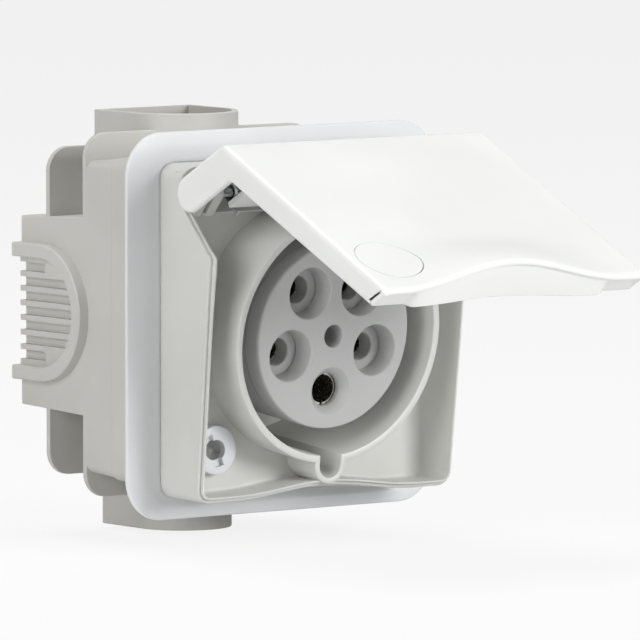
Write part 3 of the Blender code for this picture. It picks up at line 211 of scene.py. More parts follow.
def comb_gaps(count, pitch, length, side):
    """The slots between a comb's slats, set out in a row by a geometry tree."""
    tree = bpy.data.node_groups.new("comb_gaps", "GeometryNodeTree")
    tree.interface.new_socket("Geometry", in_out="INPUT", socket_type="NodeSocketGeometry")
    tree.interface.new_socket("Geometry", in_out="OUTPUT", socket_type="NodeSocketGeometry")
    names = ("Gap count", "Gap pitch", "Gap length")
    kinds = ("NodeSocketInt", "NodeSocketFloat", "NodeSocketFloat")
    sockets = [tree.interface.new_socket(n, in_out="INPUT", socket_type=k) for n, k in zip(names, kinds)]
    inputs = add_node(tree, "NodeGroupInput")
    step = add_node(tree, "ShaderNodeCombineXYZ", links={"Z": inputs.outputs["Gap pitch"]})
    row = add_node(tree, "GeometryNodeMeshLine", links={"Count": inputs.outputs["Gap count"],
                                                       "Offset": step.outputs[0]}, mode="OFFSET")
    size = add_node(tree, "ShaderNodeCombineXYZ", {"X": COMB_DEPTH * 4 / 1000, "Z": COMB_GAP / 1000},
                    {"Y": inputs.outputs["Gap length"]})
    gap = add_node(tree, "GeometryNodeMeshCube", links={"Size": size.outputs[0]})
    set_out = add_node(tree, "GeometryNodeInstanceOnPoints", links={"Points": row.outputs["Mesh"],
                                                                   "Instance": gap.outputs["Mesh"]})
    tree_output(tree, set_out.outputs[0], box_plastic)
    cutter = bpy.data.objects.new("comb_gaps", bpy.data.meshes.new("comb_gaps"))
    bpy.context.scene.collection.objects.link(cutter)
    modifier = cutter.modifiers.new("comb_gaps", "NODES")
    modifier.node_group = tree
    for socket, value in zip(sockets, (count, pitch / 1000, length / 1000)):
        modifier[socket.identifier] = value
    bake(cutter)
    middle = side * (BOX_HALF - COMB_DEPTH + COMB_DEPTH * 2)
    offset = Vector((middle, 1 - length / 2, -pitch * (count - 1) / 2)) / 1000
    cutter.data.transform(Matrix.Translation(offset))
    return cutter


def fin(rear, low, high):
    """The four rings that step out to a fin and back, with softened edges."""
    front = rear - FIN_THICK
    corner = 6.0
    edge = (BOX_HALF, low + SOFT_EDGE, high - SOFT_EDGE, corner - SOFT_EDGE)
    full = (BOX_HALF, low, high, corner)
    return [(*edge, rear), (*full, rear - SOFT_EDGE), (*full, front + SOFT_EDGE), (*edge, front)]


def tub(half, out, radius, y):
    """One ring of the tub, from its half height and how far it stands out all round."""
    return (BOX_HALF + out, -half - out, half + out, radius + out, y)


steps_out = [(BOX_HALF - 0.12, -REAR_HALF + 0.12, REAR_HALF - 0.12, 0.4, 0), tub(REAR_HALF, 0, 0.5, -0.12)]
steps_out += [tub(24.3, 0, 0.5, -10.6)] + fin(-10.6, -41.1, 41.7) + [tub(24.4, 0, 0.5, -12.1)]
steps_out += [tub(25.0, 0, 0.5, STEP)] + fin(STEP, -45.5, 46.0)
steps_out.append(tub(BODY_HALF, 0, TUB_CORNER, STEP - FIN_THICK))
# The tub widens by a small rounded step before its mouth
for out, y in ((0, -38.2), (0.2, -38.35), (0.42, -38.8), (0.5, -39.4), (0.5, -60.1), (0.2, BOX_FRONT)):
    steps_out.append(tub(MOUTH_HALF, out, TUB_CORNER, y))
wall_box = loft("box_moulding", [rounded(*step) for step in steps_out])
# Each spigot's middle, half width, depth and end height
SPIGOT_REAR = -3.7
SPIGOT_WALL = 1.6
TOP_SPIGOT = (-0.2, 15.05, 30.5, 50.0)
BOTTOM_SPIGOT = (-0.45, 12.45, 29.6, -55.3)
for name, (middle, half, depth, end) in (("top", TOP_SPIGOT), ("bottom", BOTTOM_SPIGOT)):
    way = math.copysign(1, end)
    rings = [d_shape(middle, half, SPIGOT_REAR, depth, z) for z in (way * 21, end - way * SOFT_EDGE)]
    rings.append(d_shape(middle, half - 0.15, SPIGOT_REAR - 0.15, depth - 0.3, end))
    work_in(wall_box, loft(name + "_spigot", rings), "UNION")
for side in (-1, 1):
    root, face = side * (BOX_HALF - 1), side * (BOX_HALF + COMB_PROUD)
    soft = 0.35
    rings = []
    for inset, x in ((0, root), (0, face - side * soft), (soft, face)):
        rings.append(u_shape(COMB_OUTER - inset, x) + u_shape(COMB_INNER + inset, x)[::-1])
    work_in(wall_box, loft("comb_ring", rings), "UNION")
    field = [u_shape(COMB_INNER + 0.5, root), u_shape(COMB_INNER + 0.5, side * (BOX_HALF + SLAT_PROUD))]
    work_in(wall_box, loft("comb_field", field), "UNION")
work_in(wall_box, loft("large_cavity", [rounded(33.5, -37.2, 37.2, 1.5, -28.1),
                                        rounded(33.5, -37.95, 37.95, 1.5, -61.4)]), "DIFFERENCE")
work_in(wall_box, loft("rear_cavity", [rounded(32.7, -21.9, 21.9, 1.5, -2.0),
                                       rounded(32.7, -23.0, 23.0, 1.5, -29.1)]), "DIFFERENCE")
for middle, half, depth, end in (TOP_SPIGOT, BOTTOM_SPIGOT):
    way = math.copysign(1, end)
    hole = [d_shape(middle, half - SPIGOT_WALL, SPIGOT_REAR - SPIGOT_WALL, depth - 2 * SPIGOT_WALL, z)
            for z in (way * 19.9, end + way)]
    work_in(wall_box, loft("bore", hole), "DIFFERENCE")
for side in (-1, 1):
    for count, pitch, length in ((5, COMB_PITCH, 30.0), (2, COMB_PITCH * 6, 11.6)):
        slots = comb_gaps(count, pitch, length, side)
        if count == 5:
            inside = [u_shape(COMB_INNER - 0.02, side * x, 2) for x in (30, 45)]
            work_in(slots, loft("comb_inside", inside), "INTERSECT")
        work_in(wall_box, slots, "DIFFERENCE")
# The shelves behind which the quarter-turn screws hook stand on the side walls
for left, right, low, high in ((-34.5, -24.3, -26.8, -22.2), (25.4, 34.5, 13.9, 18.5)):
    corners = ((left, low), (right, low), (right, high), (left, high))
    work_in(wall_box, loft("shelf", [[(x, y, z) for x, z in corners] for y in (-46.7, -44.7)]), "UNION")
smooth(wall_box)
wall_box.data.materials.clear()
wall_box.data.materials.append(box_plastic)
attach(wall_box, "socket")
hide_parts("wall_box")

# Cover frame: a thin square plate with big corner radii. Inside its flat rim it dips in a shallow dish
# to the seam round the housing. Moulded in glass-filled nylon, it is clamped between housing and wall.
WALL = -60.7
FRAME_FRONT = -61.7
SEAM_HALF = 37.55
SEAM_TOP = 40.6
SEAM_BOTTOM = -43.0
SEAM_CORNER = 3.9
DISH_HALF = 42.6
DISH_TOP = 44.8
DISH_BOTTOM = -45.5
DISH_CORNER = 8.4
DISH_DEPTH = 0.75
SEAT = 0.15
FRAME_HALF = 48.2
FRAME_CORNER = 10.8
FRAME_EDGE = 0.5
FINE = 14

frame_plastic = moulded("nylon_frame_pale_grey", "E2E4E6", "DCDEE0", 0.40, 0.7, 0.22)


def seam_ring(out, y):
    """A ring at the seam round the housing."""
    return rounded(SEAM_HALF + out, SEAM_BOTTOM - out, SEAM_TOP + out, SEAM_CORNER + out, y, FINE)


def dish_ring(share):
    """One ring of the dish, from the flat rim (0) down to the seam (1)."""
    ease = share * share * (3 - 2 * share)
    rim = (DISH_HALF, DISH_BOTTOM, DISH_TOP, DISH_CORNER)
    seam = (SEAM_HALF + SOFT_EDGE, SEAM_BOTTOM - SOFT_EDGE, SEAM_TOP + SOFT_EDGE, SEAM_CORNER + SOFT_EDGE)
    half, low, high, corner = [a + (b - a) * share for a, b in zip(rim, seam)]
    return rounded(half, low, high, corner, FRAME_FRONT + DISH_DEPTH * (0.35 * share + 0.65 * ease), FINE)


def frame_ring(inset, y):
    """A ring at the frame's outer edge."""
    return rounded(FRAME_HALF - inset, -FRAME_HALF + inset, FRAME_HALF - inset, FRAME_CORNER - inset, y, FINE)


opening = (34.6, -38.1, 35.9, SEAM_CORNER)
rings = [rounded(*opening, WALL, FINE), frame_ring(0.25, WALL), frame_ring(0, WALL - 0.2)]
for i in range(5):
    angle = math.radians(90 * i / 4)
    inset, behind = FRAME_EDGE * (1 - math.cos(angle)), FRAME_EDGE * (1 - math.sin(angle))
    rings.append(frame_ring(inset, FRAME_FRONT + behind))
rings += [dish_ring(i / 10) for i in range(11)]
rings += [seam_ring(0.06, FRAME_FRONT + DISH_DEPTH + 0.04), seam_ring(0, FRAME_FRONT + DISH_DEPTH + 0.12)]
rings += [seam_ring(0, WALL - SEAT), rounded(*opening, WALL - SEAT, FINE)]
cover_frame = smooth(loft("frame_plate", rings, closed=True))
cover_frame.data.materials.append(frame_plastic)
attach(cover_frame, "socket")
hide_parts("cover_frame")

# Socket housing: walls with a stepped rim, a floor, a trough behind the hinge and the round shroud
# with its keyway. One thick moulding in impact-resistant nylon, held by two quarter-turn screws.
HOUSING_HALF = 40.5
FLARE = 3.2
FLARE_FROM = 33
HOUSING_TOP = 40.5
HOUSING_BOTTOM = -42.7
HOUSING_CORNER = 3.6
TILT = math.radians(6)
RIM = FRAME_FRONT - 22.9
FLOOR = FRAME_FRONT - 8.4
LIP = 1.0
HINGE = (FRAME_FRONT - 14.8, 33.9)
LEG_SLOPE = math.radians(41)
LEG_HALF = 4.65
TROUGH_CENTRE = (HINGE[0], HINGE[1] + 1.2)
TROUGH_RADIUS = 5.8
ARCH_HALF = 29.4
FOOT = WALL - 0.3
ARCH_RISE = 2.4

housing_plastic = moulded("nylon_housing_light_grey", "D6D6D2", "CECECA", 0.42, 0.7, 0.22)


def rim_depth(z):
    """Where the housing's rim lies at one height: tilted plane, slope to the hinge, then the trough."""
    plane = RIM - z * math.tan(TILT)
    offset = LEG_HALF + 0.3
    foot_y = HINGE[0] + offset * math.sin(LEG_SLOPE)
    foot_z = HINGE[1] - offset * math.cos(LEG_SLOPE)
    slope = foot_y + (z - foot_z) / math.tan(LEG_SLOPE)
    arc_start = TROUGH_CENTRE[1] - TROUGH_RADIUS * math.cos(LEG_SLOPE)
    if z >= arc_start:
        rise = min(abs(z - TROUGH_CENTRE[1]), TROUGH_RADIUS)
        return TROUGH_CENTRE[0] + math.sqrt(TROUGH_RADIUS ** 2 - rise ** 2)
    # A fillet where the plane meets the slope
    soft = 0.9
    gap = slope - plane
    if gap < -soft:
        return plane
    if gap > soft:
        return slope
    return plane + (gap + soft) ** 2 / (4 * soft)


def lip_height(z):
    """The lip stands proud of the shelf, up to the trough."""
    return LIP * min(max((30.4 - z) / 0.6, 0.0), 1.0)


def side_heights(low, high):
    """Heights along a side wall, closer together at the slope and the trough."""
    marks = [0, 0.15, 0.3, 0.45, 0.6, 0.7, 0.745, 0.755, 0.765, 0.775, 0.785, 0.8, 0.83, 0.86, 0.875, 0.885,
             0.893, 0.9, 0.91, 0.92, 0.935, 0.95, 0.965, 0.98, 1.0]
    return [low + (high - low) * m for m in marks]


def housing_outline(inset, arch=1.0):
    """The housing seen from the front, its bottom wall arched up in the middle by a share of the rise."""
    half = HOUSING_HALF - inset
    low = HOUSING_BOTTOM + inset
    top = HOUSING_TOP - inset
    radius = max(HOUSING_CORNER - inset, 0.6)
    x = half - radius
    points = [(half, z) for z in side_heights(low + radius, top - radius)]
    points += bend((x, top - radius), radius, 0, 90, 8)[1:]
    points += [(x - 2 * x * i / 12, top) for i in range(1, 12)]
    points += bend((-x, top - radius), radius, 90, 180, 8)
    points += [(-half, z) for z in reversed(side_heights(low + radius, top - radius))][1:]
    points += bend((-x, low + radius), radius, 180, 270, 8)[1:]
    for i in range(25):
        across = -ARCH_HALF + 2 * ARCH_HALF * i / 24
        points.append((across, low + arch * ARCH_RISE / 2 * (1 + math.cos(math.pi * across / ARCH_HALF))))
    points += bend((x, low + radius), radius, 270, 360, 8)[:-1]
    return points


def wall_ring(inset, behind=0.0, on_lip=False, y=None, arch=1.0):
    """One ring of the walls, at one depth or along the rim, on its shelf or on its lip."""
    ring = []
    for x, z in housing_outline(inset, arch):
        depth = y
        if y is None:
            depth = rim_depth(z) + behind + (0 if on_lip else lip_height(z))
        # The side walls lean outwards from the foot to the rim
        narrow = FLARE * min((depth - RIM) / (FOOT - RIM), 1.0)
        if abs(x) > FLARE_FROM:
            x -= math.copysign(narrow, x)
        else:
            x *= 1 - narrow / FLARE_FROM
        ring.append((x, depth, z))
    return ring


WALL_INSET = 1.5
SHELF = 0.9
FLOOR_THICK = 2
rings = [wall_ring(0, y=FOOT, arch=0)]
# Over the outer edge and the shelf, then over the lip, then down the inside to the floor
for inset, behind in ((0, 0.5), (0.07, 0.25), (0.25, 0.07), (0.5, 0), (SHELF - 0.12, 0.02), (SHELF, 0.16)):
    rings.append(wall_ring(inset, behind))
for inset, behind in ((SHELF + 0.02, 0.3), (SHELF + 0.06, 0.12), (SHELF + 0.2, 0), (WALL_INSET - 0.16, 0),
                      (WALL_INSET - 0.04, 0.1), (WALL_INSET, 0.3)):
    rings.append(wall_ring(inset, behind, on_lip=True))
for inset, behind in ((0, -1.0), (0.12, -0.5), (0.45, -0.14), (1.0, 0), (1.0, FLOOR_THICK)):
    rings.append(wall_ring(WALL_INSET + inset, y=FLOOR + behind))
rings += [wall_ring(WALL_INSET, y=y, arch=0) for y in (FLOOR + FLOOR_THICK, FOOT)]
walls = loft("housing_moulding", rings, closed=True)

# The socket's own axis leans 6 degrees down; depth 0 is the insert's face.
FACE = Vector((0, FRAME_FRONT - 21.1, -2.9)) / 1000
TO_SOCKET = Matrix.Translation(FACE) @ Matrix.Rotation(TILT, 4, "X")
SHROUD_INNER = 29.8
SHROUD_DEPTH = 33.0


def keyhole(blend):
    """The shroud's outline, from its bore (0) to its outside (1): a circle with a slot below."""
    r = SHROUD_INNER + 2.0 * blend
    half = 3.2 + 1.6 * blend
    reach = 35.4 + 1.6 * blend
    opening_angle = math.degrees(math.asin(half / r))
    circle = bend((0, 0), r, -90 + opening_angle, 270 - opening_angle, 96)
    slot = bend((0, half - reach), half, 180, 360, 16)
    return circle + slot


def shroud_rim(x, u):
    """How deep the rim lies at one place; the top is cut back for the closed lid's leg."""
    place = TO_SOCKET @ (Vector((x, -2.2, u)) / 1000) * 1000
    height = -(place.y - HINGE[0]) * math.sin(LEG_SLOPE) + (place.z - HINGE[1]) * math.cos(LEG_SLOPE)
    room = LEG_HALF - 1.7 - 0.6
    return -2.2 + max(0.0, (height - room) / 0.573)


def shroud_ring(blend, back=0.0, depth=None):
    """One ring of the shroud, along its rim or at one depth."""
    ring = []
    for x, u in keyhole(blend):
        ring.append((x, shroud_rim(x, u) + back if depth is None else depth, u))
    return ring


def open_to_socket(obj):
    """Cut the shroud's outline through a piece, half way into the shroud's wall."""
    bore = loft("bore", [[(x, d, u) for x, u in keyhole(0.5)] for d in (-20, 60)])
    bore.data.transform(TO_SOCKET)
    work_in(obj, bore, "DIFFERENCE")


FLOOR_HOLE = 23.7
SHROUD_END = SHROUD_DEPTH + 2
rings = [shroud_ring(1, depth=SHROUD_END)]
for blend, back in ((1, 0.55), (0.93, 0.2), (0.76, 0.02), (0.6, 0), (0.4, 0), (0.24, 0.02), (0.07, 0.2),
                    (0, 0.55)):
    rings.append(shroud_ring(blend, back))
rings.append(shroud_ring(0, depth=SHROUD_DEPTH))
spokes = [(x * FLOOR_HOLE / math.hypot(x, u), u * FLOOR_HOLE / math.hypot(x, u)) for x, u in keyhole(0)]
rings += [[(x, depth, u) for x, u in spokes] for depth in (SHROUD_DEPTH, SHROUD_END)]
shroud = loft("shroud", rings, closed=True)
shroud.data.transform(TO_SOCKET)

floor = loft("floor", [wall_ring(WALL_INSET + 0.3, y=y) for y in (FLOOR, FLOOR + FLOOR_THICK)])
open_to_socket(floor)

# The web under the hinge and the trough behind it, one wall across the housing
WEB_LOW = 28.4
web = [(FLOOR + FLOOR_THICK, WEB_LOW)]
web += [(rim_depth(WEB_LOW) + 0.9, WEB_LOW), (rim_depth(WEB_LOW) + 0.5, WEB_LOW + 0.08)]
heights = [WEB_LOW + 0.45, 29.2, 29.8, 30.2, 30.6] + [TROUGH_CENTRE[1] + d for d in range(-4, 5)]
web += [(rim_depth(z), z) for z in heights]
web.append((FLOOR + FLOOR_THICK, TROUGH_CENTRE[1] + 4))
trough = loft("trough", [[(x, y, z) for y, z in web] for x in (-38.0, 38.0)])
open_to_socket(trough)


def ear(low, high):
    """A rounded hinge ear between two planes, softened at its edges."""
    radius = 2.25
    soft = 0.25
    slope = math.degrees(LEG_SLOPE)
    foot_y = HINGE[0] + (LEG_HALF + 1.2) * math.sin(LEG_SLOPE)
    foot_z = HINGE[1] - (LEG_HALF + 1.2) * math.cos(LEG_SLOPE)
    rings = []
    for x, inset in ((low, soft), (low + soft, 0), (high - soft, 0), (high, soft)):
        outline = bend(HINGE, radius - inset, slope, slope + 180, 20)
        for way in (-1, 1):
            reach = (radius - inset) * way
            outline.append((foot_y + reach * math.cos(LEG_SLOPE), foot_z + reach * math.sin(LEG_SLOPE)))
        rings.append([(x, y, z) for y, z in outline])
    return loft("ear", rings)


ears = [ear(*span) for span in ((-37.7, -34.9), (-33.7, -30.9), (30.9, 33.7), (34.9, 37.7))]


def lathe(name, profile, steps=64, at=(0, 0)):
    """A profile of (radius, depth) turned about an axis that points into the wall."""
    rings = []
    for radius, depth in profile:
        ring = []
        for i in range(steps):
            angle = 2 * math.pi * i / steps
            ring.append((at[0] + radius * math.cos(angle), depth, at[1] + radius * math.sin(angle)))
        rings.append(ring)
    return loft(name, rings)


LOWER_SCREW = (-28.8, -30.4)
UPPER_SCREW = (29.9, 22.1)
SCREW_FACE = FLOOR - 2.6
SCREW_THICK = 1.6
bosses = []
for place in (LOWER_SCREW, UPPER_SCREW):
    seat = SCREW_FACE + SCREW_THICK + 0.3
    profile = [(3.6, seat), (6.0, seat), (6.1, seat + 0.1), (6.1, FLOOR + 1), (3.6, FLOOR + 1), (3.6, seat)]
    bosses.append(lathe("boss", profile, 48, place))


def gather(main, others):
    """Put several closed shells into one object."""
    work = bmesh.new()
    work.from_mesh(main.data)
    for other in others:
        work.from_mesh(other.data)
        bpy.data.objects.remove(other, do_unlink=True)
    work.to_mesh(main.data)
    work.free()
    return main


housing = smooth(gather(walls, [shroud, floor, trough] + ears + bosses))
housing.data.materials.append(housing_plastic)
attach(housing, "socket")
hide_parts("socket_housing")

# Contact insert: the round face that the plug meets, in a harder, duller nylon. Four line recesses
# and the larger earth hole at six o'clock lie on one pitch circle, with a screw hole in the middle.
INSERT_RADIUS = 23.4
PITCH_RADIUS = 13.8
RECESS_DEPTH = 5.5

insert_plastic = moulded("nylon_insert_mid_grey", "BDBEBD", "B5B6B5", 0.50, 0.6, 0.3)

insert = lathe("insert_face", [(0, 0), (22.7, 0), (23.1, 0.1), (23.32, 0.35), (INSERT_RADIUS, 0.8),
                               (INSERT_RADIUS, RECESS_DEPTH), (0, RECESS_DEPTH)], 96)


def on_pitch_circle(shape):
    """One turned shape at the four line contacts' places, set out by a geometry tree."""
    tree = bpy.data.node_groups.new("line_places", "GeometryNodeTree")
    tree.interface.new_socket("Geometry", in_out="INPUT", socket_type="NodeSocketGeometry")
    tree.interface.new_socket("Geometry", in_out="OUTPUT", socket_type="NodeSocketGeometry")
    pitch_input = tree.interface.new_socket("Pitch radius", in_out="INPUT", socket_type="NodeSocketFloat")
    shape_input = tree.interface.new_socket("Recess", in_out="INPUT", socket_type="NodeSocketObject")
    inputs = add_node(tree, "NodeGroupInput")
    circle = add_node(tree, "GeometryNodeMeshCircle", {"Vertices": 5},
                      {"Radius": inputs.outputs["Pitch radius"]})
    upright = add_node(tree, "GeometryNodeTransform", {"Rotation": (math.pi / 2, math.pi / 2, 0)},
                       {"Geometry": circle.outputs["Mesh"]})
    index = add_node(tree, "GeometryNodeInputIndex")
    not_earth = add_node(tree, "FunctionNodeCompare", {3: 0}, {2: index.outputs[0]}, data_type="INT",
                         operation="NOT_EQUAL")
    source = add_node(tree, "GeometryNodeObjectInfo", links={"Object": inputs.outputs["Recess"]})
    set_out = add_node(tree, "GeometryNodeInstanceOnPoints", links={
        "Points": upright.outputs["Geometry"], "Selection": not_earth.outputs["Result"],
        "Instance": source.outputs["Geometry"]})
    tree_output(tree, set_out.outputs[0], insert_plastic)
    places = bpy.data.objects.new("line_places", bpy.data.meshes.new("line_places"))
    bpy.context.scene.collection.objects.link(places)
    modifier = places.modifiers.new("line_places", "NODES")
    modifier.node_group = tree
    modifier[pitch_input.identifier] = PITCH_RADIUS / 1000
    modifier[shape_input.identifier] = shape
    bake(places)
    bpy.data.objects.remove(shape, do_unlink=True)
    return places


line_profile = [(0, -1), (7.3, -1), (6.72, -0.05), (6.5, 0.1), (6.36, 0.4), (5.8, RECESS_DEPTH - 0.2),
                (5.78, 7), (0, 7)]
work_in(insert, on_pitch_circle(lathe("line_recess", line_profile, 64)), "DIFFERENCE")
earth_profile = [(0, -1), (6.9, -1), (6.1, -0.05), (5.85, 0.12), (4.2, 2.0), (4.1, 2.3), (4.1, 3.2),
                 (4.45, 3.2), (4.45, 7), (0, 7)]
work_in(insert, lathe("earth_recess", earth_profile, 64, (0, -PITCH_RADIUS)), "DIFFERENCE")
centre_profile = [(0, -1), (3.8, -1), (3.0, -0.05), (2.85, 0.15), (2.8, 0.4), (2.8, 7), (0, 7)]
work_in(insert, lathe("centre_hole", centre_profile, 48), "DIFFERENCE")
insert.data.transform(TO_SOCKET)
smooth(insert)
insert.data.materials.clear()
insert.data.materials.append(insert_plastic)
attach(insert, "socket")
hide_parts("contact_insert")

# Contact block: the same nylon behind the face, its front the floor of the recesses. It holds the
# sleeves, and the centre screw pulls it against the carrier.
BLOCK = RECESS_DEPTH + 0.3
BLOCK_END = 35.0
contact_block = lathe("block_moulding", [(0, BLOCK), (INSERT_RADIUS, BLOCK), (INSERT_RADIUS, BLOCK_END),
                                         (0, BLOCK_END)], 96)
PAST = BLOCK_END + 1
bore_profile = [(0, BLOCK - 1), (4.7, BLOCK - 1), (3.65, BLOCK + 0.05), (3.48, BLOCK + 0.2),
                (3.45, BLOCK + 0.4), (3.45, PAST), (0, PAST)]
work_in(contact_block, on_pitch_circle(lathe("line_bore", bore_profile, 64)), "DIFFERENCE")
bores = [lathe("earth_bore", [(0, 4), (4.45, 4), (4.45, PAST), (0, PAST)], 64, (0, -PITCH_RADIUS)),
         lathe("centre_bore", [(0, 4), (2.8, 4), (2.8, 12), (1.6, 12), (1.6, PAST), (0, PAST)], 48)]
for angle in (-36, 36):
    place = (16.0 * math.sin(math.radians(angle)), -16.0 * math.cos(math.radians(angle)))
    bores.append(lathe("screw_way", [(0, 30.7), (1.5, 30.7), (1.5, PAST), (0, PAST)], 16, place))
for bore in bores:
    work_in(contact_block, bore, "DIFFERENCE")
contact_block.data.transform(TO_SOCKET)
smooth(contact_block)
contact_block.data.materials.clear()
contact_block.data.materials.append(insert_plastic)
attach(contact_block, "socket")
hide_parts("contact_block")

# Quarter-turn screws: flat plastic heads with a stepped driver slot and a dark bore, on a round
# shank with a cam at its end. Two of them hold the housing and the frame to the wall box.
screw_plastic = moulded("acetal_screw_white", "E4E5E9", "DCDEE3", 0.34, 0.6, 0.15)


def turn_screw(name, place, down):
    """One screw; its cam points down or up to hook behind the box's shelf."""
    length = 31.05
    profile = [(0, 0), (5.75, 0), (6.0, 0.1), (6.1, 0.35), (6.1, 1.3), (5.9, SCREW_THICK), (3.0, SCREW_THICK),
               (3.0, length), (0, length)]
    screw = lathe(name, profile, 64)
    reach = -6.2 if down else 6.2
    low, high = sorted((reach, -reach / 6))
    corners = ((-2.4, low), (2.4, low), (2.4, high), (-2.4, high))
    work_in(screw, loft("cam", [[(x, y, z) for x, z in corners] for y in (28.3, 30.5)]), "UNION")
    slot = bend((0, 0), 4.25, -59, -251, 32) + [(-0.16, 0.15), (1.0, 0.15)]
    rings = [[(x, y, z) for x, z in slot] for y in (-1, 1.25)]
    work_in(screw, loft("slot", rings), "DIFFERENCE")
    work_in(screw, lathe("bore", [(0, -1), (2.6, -1), (2.6, 8), (0, 8)], 32), "DIFFERENCE")
    screw.data.transform(Matrix.Translation(Vector((place[0], SCREW_FACE, place[1])) / 1000))
    smooth(screw)
    screw.data.materials.clear()
    screw.data.materials.append(screw_plastic)
    return screw


for name, place, down in (("lower", LOWER_SCREW, False), ("upper", UPPER_SCREW, True)):
    screw = turn_screw("turn_screw_" + name, place, down)
    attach(screw, "quarter_turn_" + name)
    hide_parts("quarter_turn_screw_" + name)

# Lid: a shallow tray on a short leg, pressed shut by a spring. Its free edge swells into a finger
# grip over a recessed end wall. Moulded in a brighter, smoother nylon than the housing.
LEG_LENGTH = 18.7
LID_HALF = 40.9
LID_WALL = 2.0
SKIRT = 7.0
SKIRT_END = 6.45
LID_LENGTH = 72.2
CORNER_FILLET = 3.0
EDGE = 1.2
GRIP_HALF = 34.5
GRIP_RISE = 4.5
GRIP_SETBACK = 2.8
GRIP_RUN = 20.0
END_HALF = 29.7
END_SETBACK = 0.6
SIDE_ROUND = 1.5
OPEN_ANGLE = math.radians(70)

lid_plastic = moulded("nylon_lid_off_white", "F1F2F0", "EBECEA", 0.36, 0.8, 0.14)

along_leg = Vector((-math.cos(LEG_SLOPE), -math.sin(LEG_SLOPE)))
off_leg = Vector((-math.sin(LEG_SLOPE), math.cos(LEG_SLOPE)))
along_plate = Vector((math.sin(TILT), -math.cos(TILT)))
off_plate = Vector((-math.cos(TILT), -math.sin(TILT)))
lid_corner = off_leg * LEG_HALF + along_leg * LEG_LENGTH


def crossing(a, along_a, b, along_b):
    """Where two lines in a plane meet."""
    across = along_a.x * along_b.y - along_a.y * along_b.x
    gap = b - a
    return a + along_a * ((gap.x * along_b.y - gap.y * along_b.x) / across)


def swell(x, half):
    """1 in the middle of the lid's free edge, easing to 0 at a half width."""
    return 0.5 * (1 + math.cos(math.pi * x / half)) if abs(x) < half else 0.0


def foot_length(x):
    """Where the end wall's lower edge lies; between its tabs it follows the housing's arch."""
    tab = min(max((END_HALF + 1.0 - abs(x)) / 1.6, 0.0), 1.0)
    return 68.9 + (1.7 - ARCH_RISE * swell(x, ARCH_HALF)) * tab


def lid_section(x, shrink):
    """The lid's side outline at one place, closed, about the hinge, drawn in by a rounding."""
    grip = swell(x, GRIP_HALF)
    end = LID_LENGTH - GRIP_SETBACK * grip
    rise = GRIP_RISE * grip
    turn = math.acos(along_leg.dot(along_plate))
    tangent = CORNER_FILLET * math.tan(turn / 2)
    points = []
    for i in range(17):
        angle = math.pi * i / 16
        points.append(off_leg * (-LEG_HALF * math.cos(angle)) - along_leg * (LEG_HALF * math.sin(angle)))
    centre = lid_corner - along_leg * tangent - off_leg * CORNER_FILLET
    for i in range(9):
        angle = turn * i / 8
        points.append(centre + off_leg * (CORNER_FILLET * math.cos(angle))
                      + along_leg * (CORNER_FILLET * math.sin(angle)))
    for i in range(13):
        t = i / 12
        points.append(lid_corner + along_plate * (end - EDGE - GRIP_RUN * (1 - t))
                      + off_plate * (rise * t * t * (3 - 2 * t)))
    centre = lid_corner + along_plate * (end - EDGE) + off_plate * (rise - EDGE)
    for i in range(1, 7):
        angle = math.radians(90 * i / 6)
        points.append(centre + off_plate * (EDGE * math.cos(angle))
                      + along_plate * (EDGE * math.sin(angle)))
    # The end wall stands back under the grip's edge and between the side walls
    back = END_SETBACK * min(max((LID_HALF - 1.7 - abs(x)) / 0.25, 0.0), 1.0)
    under = rise - EDGE - 0.35
    foot = foot_length(x)
    bulge = foot + (end - back - foot) * 0.12
    for along, down in ((end - 0.1, -under - 0.1), (end - back, -under), (bulge, SKIRT_END - 0.9),
                        (foot, SKIRT_END - 0.25), (foot - 0.25, SKIRT_END)):
        points.append(lid_corner + along_plate * along - off_plate * down)
    inner = crossing(lid_corner - off_plate * SKIRT, along_plate, off_leg * -LEG_HALF, along_leg)
    points.append(inner + along_plate * 0.5)
    points.append(inner - along_leg * 0.5)
    if shrink:
        count = len(points)
        drawn = []
        for i in range(count):
            side = (points[(i + 1) % count] - points[i - 1]).normalized()
            drawn.append(points[i] + Vector((-side.y, side.x)) * shrink)
        points = drawn
    return [(x, p.x, p.y) for p in points]


def inner_section(x):
    """The hollow under the lid's roof, reaching past its open side."""
    roof = off_leg * (LEG_HALF - LID_WALL)
    under_plate = lid_corner - off_plate * LID_WALL
    low = lid_corner - off_plate * (SKIRT + 3)
    below_leg = off_leg * -(LEG_HALF + 3)
    end = along_plate * (foot_length(x) - LID_WALL)
    points = [roof - along_leg * 9, crossing(roof, along_leg, under_plate, along_plate)]
    points += [under_plate + end, low + end]
    points += [crossing(low, along_plate, below_leg, along_leg), below_leg - along_leg * 9]
    return [(x, p.x, p.y) for p in points]


side_steps = [math.radians(15 * i) for i in range(1, 7)]
right = [(LID_HALF - SIDE_ROUND * (1 - math.sin(a)), SIDE_ROUND * (1 - math.cos(a))) for a in side_steps]
inner_x = [39.35, 39.0, 37.0, 35.5, 34, 32.5, 31.2, 30.7, 30.2, 29.7, 29.2, 28, 26.5, 25, 23.5, 22, 20, 18,
           16, 14, 12, 10, 8, 6, 4, 2]
profile = [(-x, shrink) for x, shrink in reversed(right)] + [(-x, 0.0) for x in inner_x] + [(0, 0.0)]
profile += [(x, 0.0) for x in reversed(inner_x)] + right
lid = loft("lid_moulding", [lid_section(x, shrink) for x, shrink in profile])
hollow_x = [39.2, 38.0, 35, 32, 31.2, 30.7, 30.2, 29.7, 29.2, 27, 24, 21, 18, 15, 12, 9, 6, 3, 0]
hollow_x = [-x for x in hollow_x[:-1]] + list(reversed(hollow_x))
work_in(lid, loft("lid_hollow", [inner_section(x) for x in hollow_x]), "DIFFERENCE")


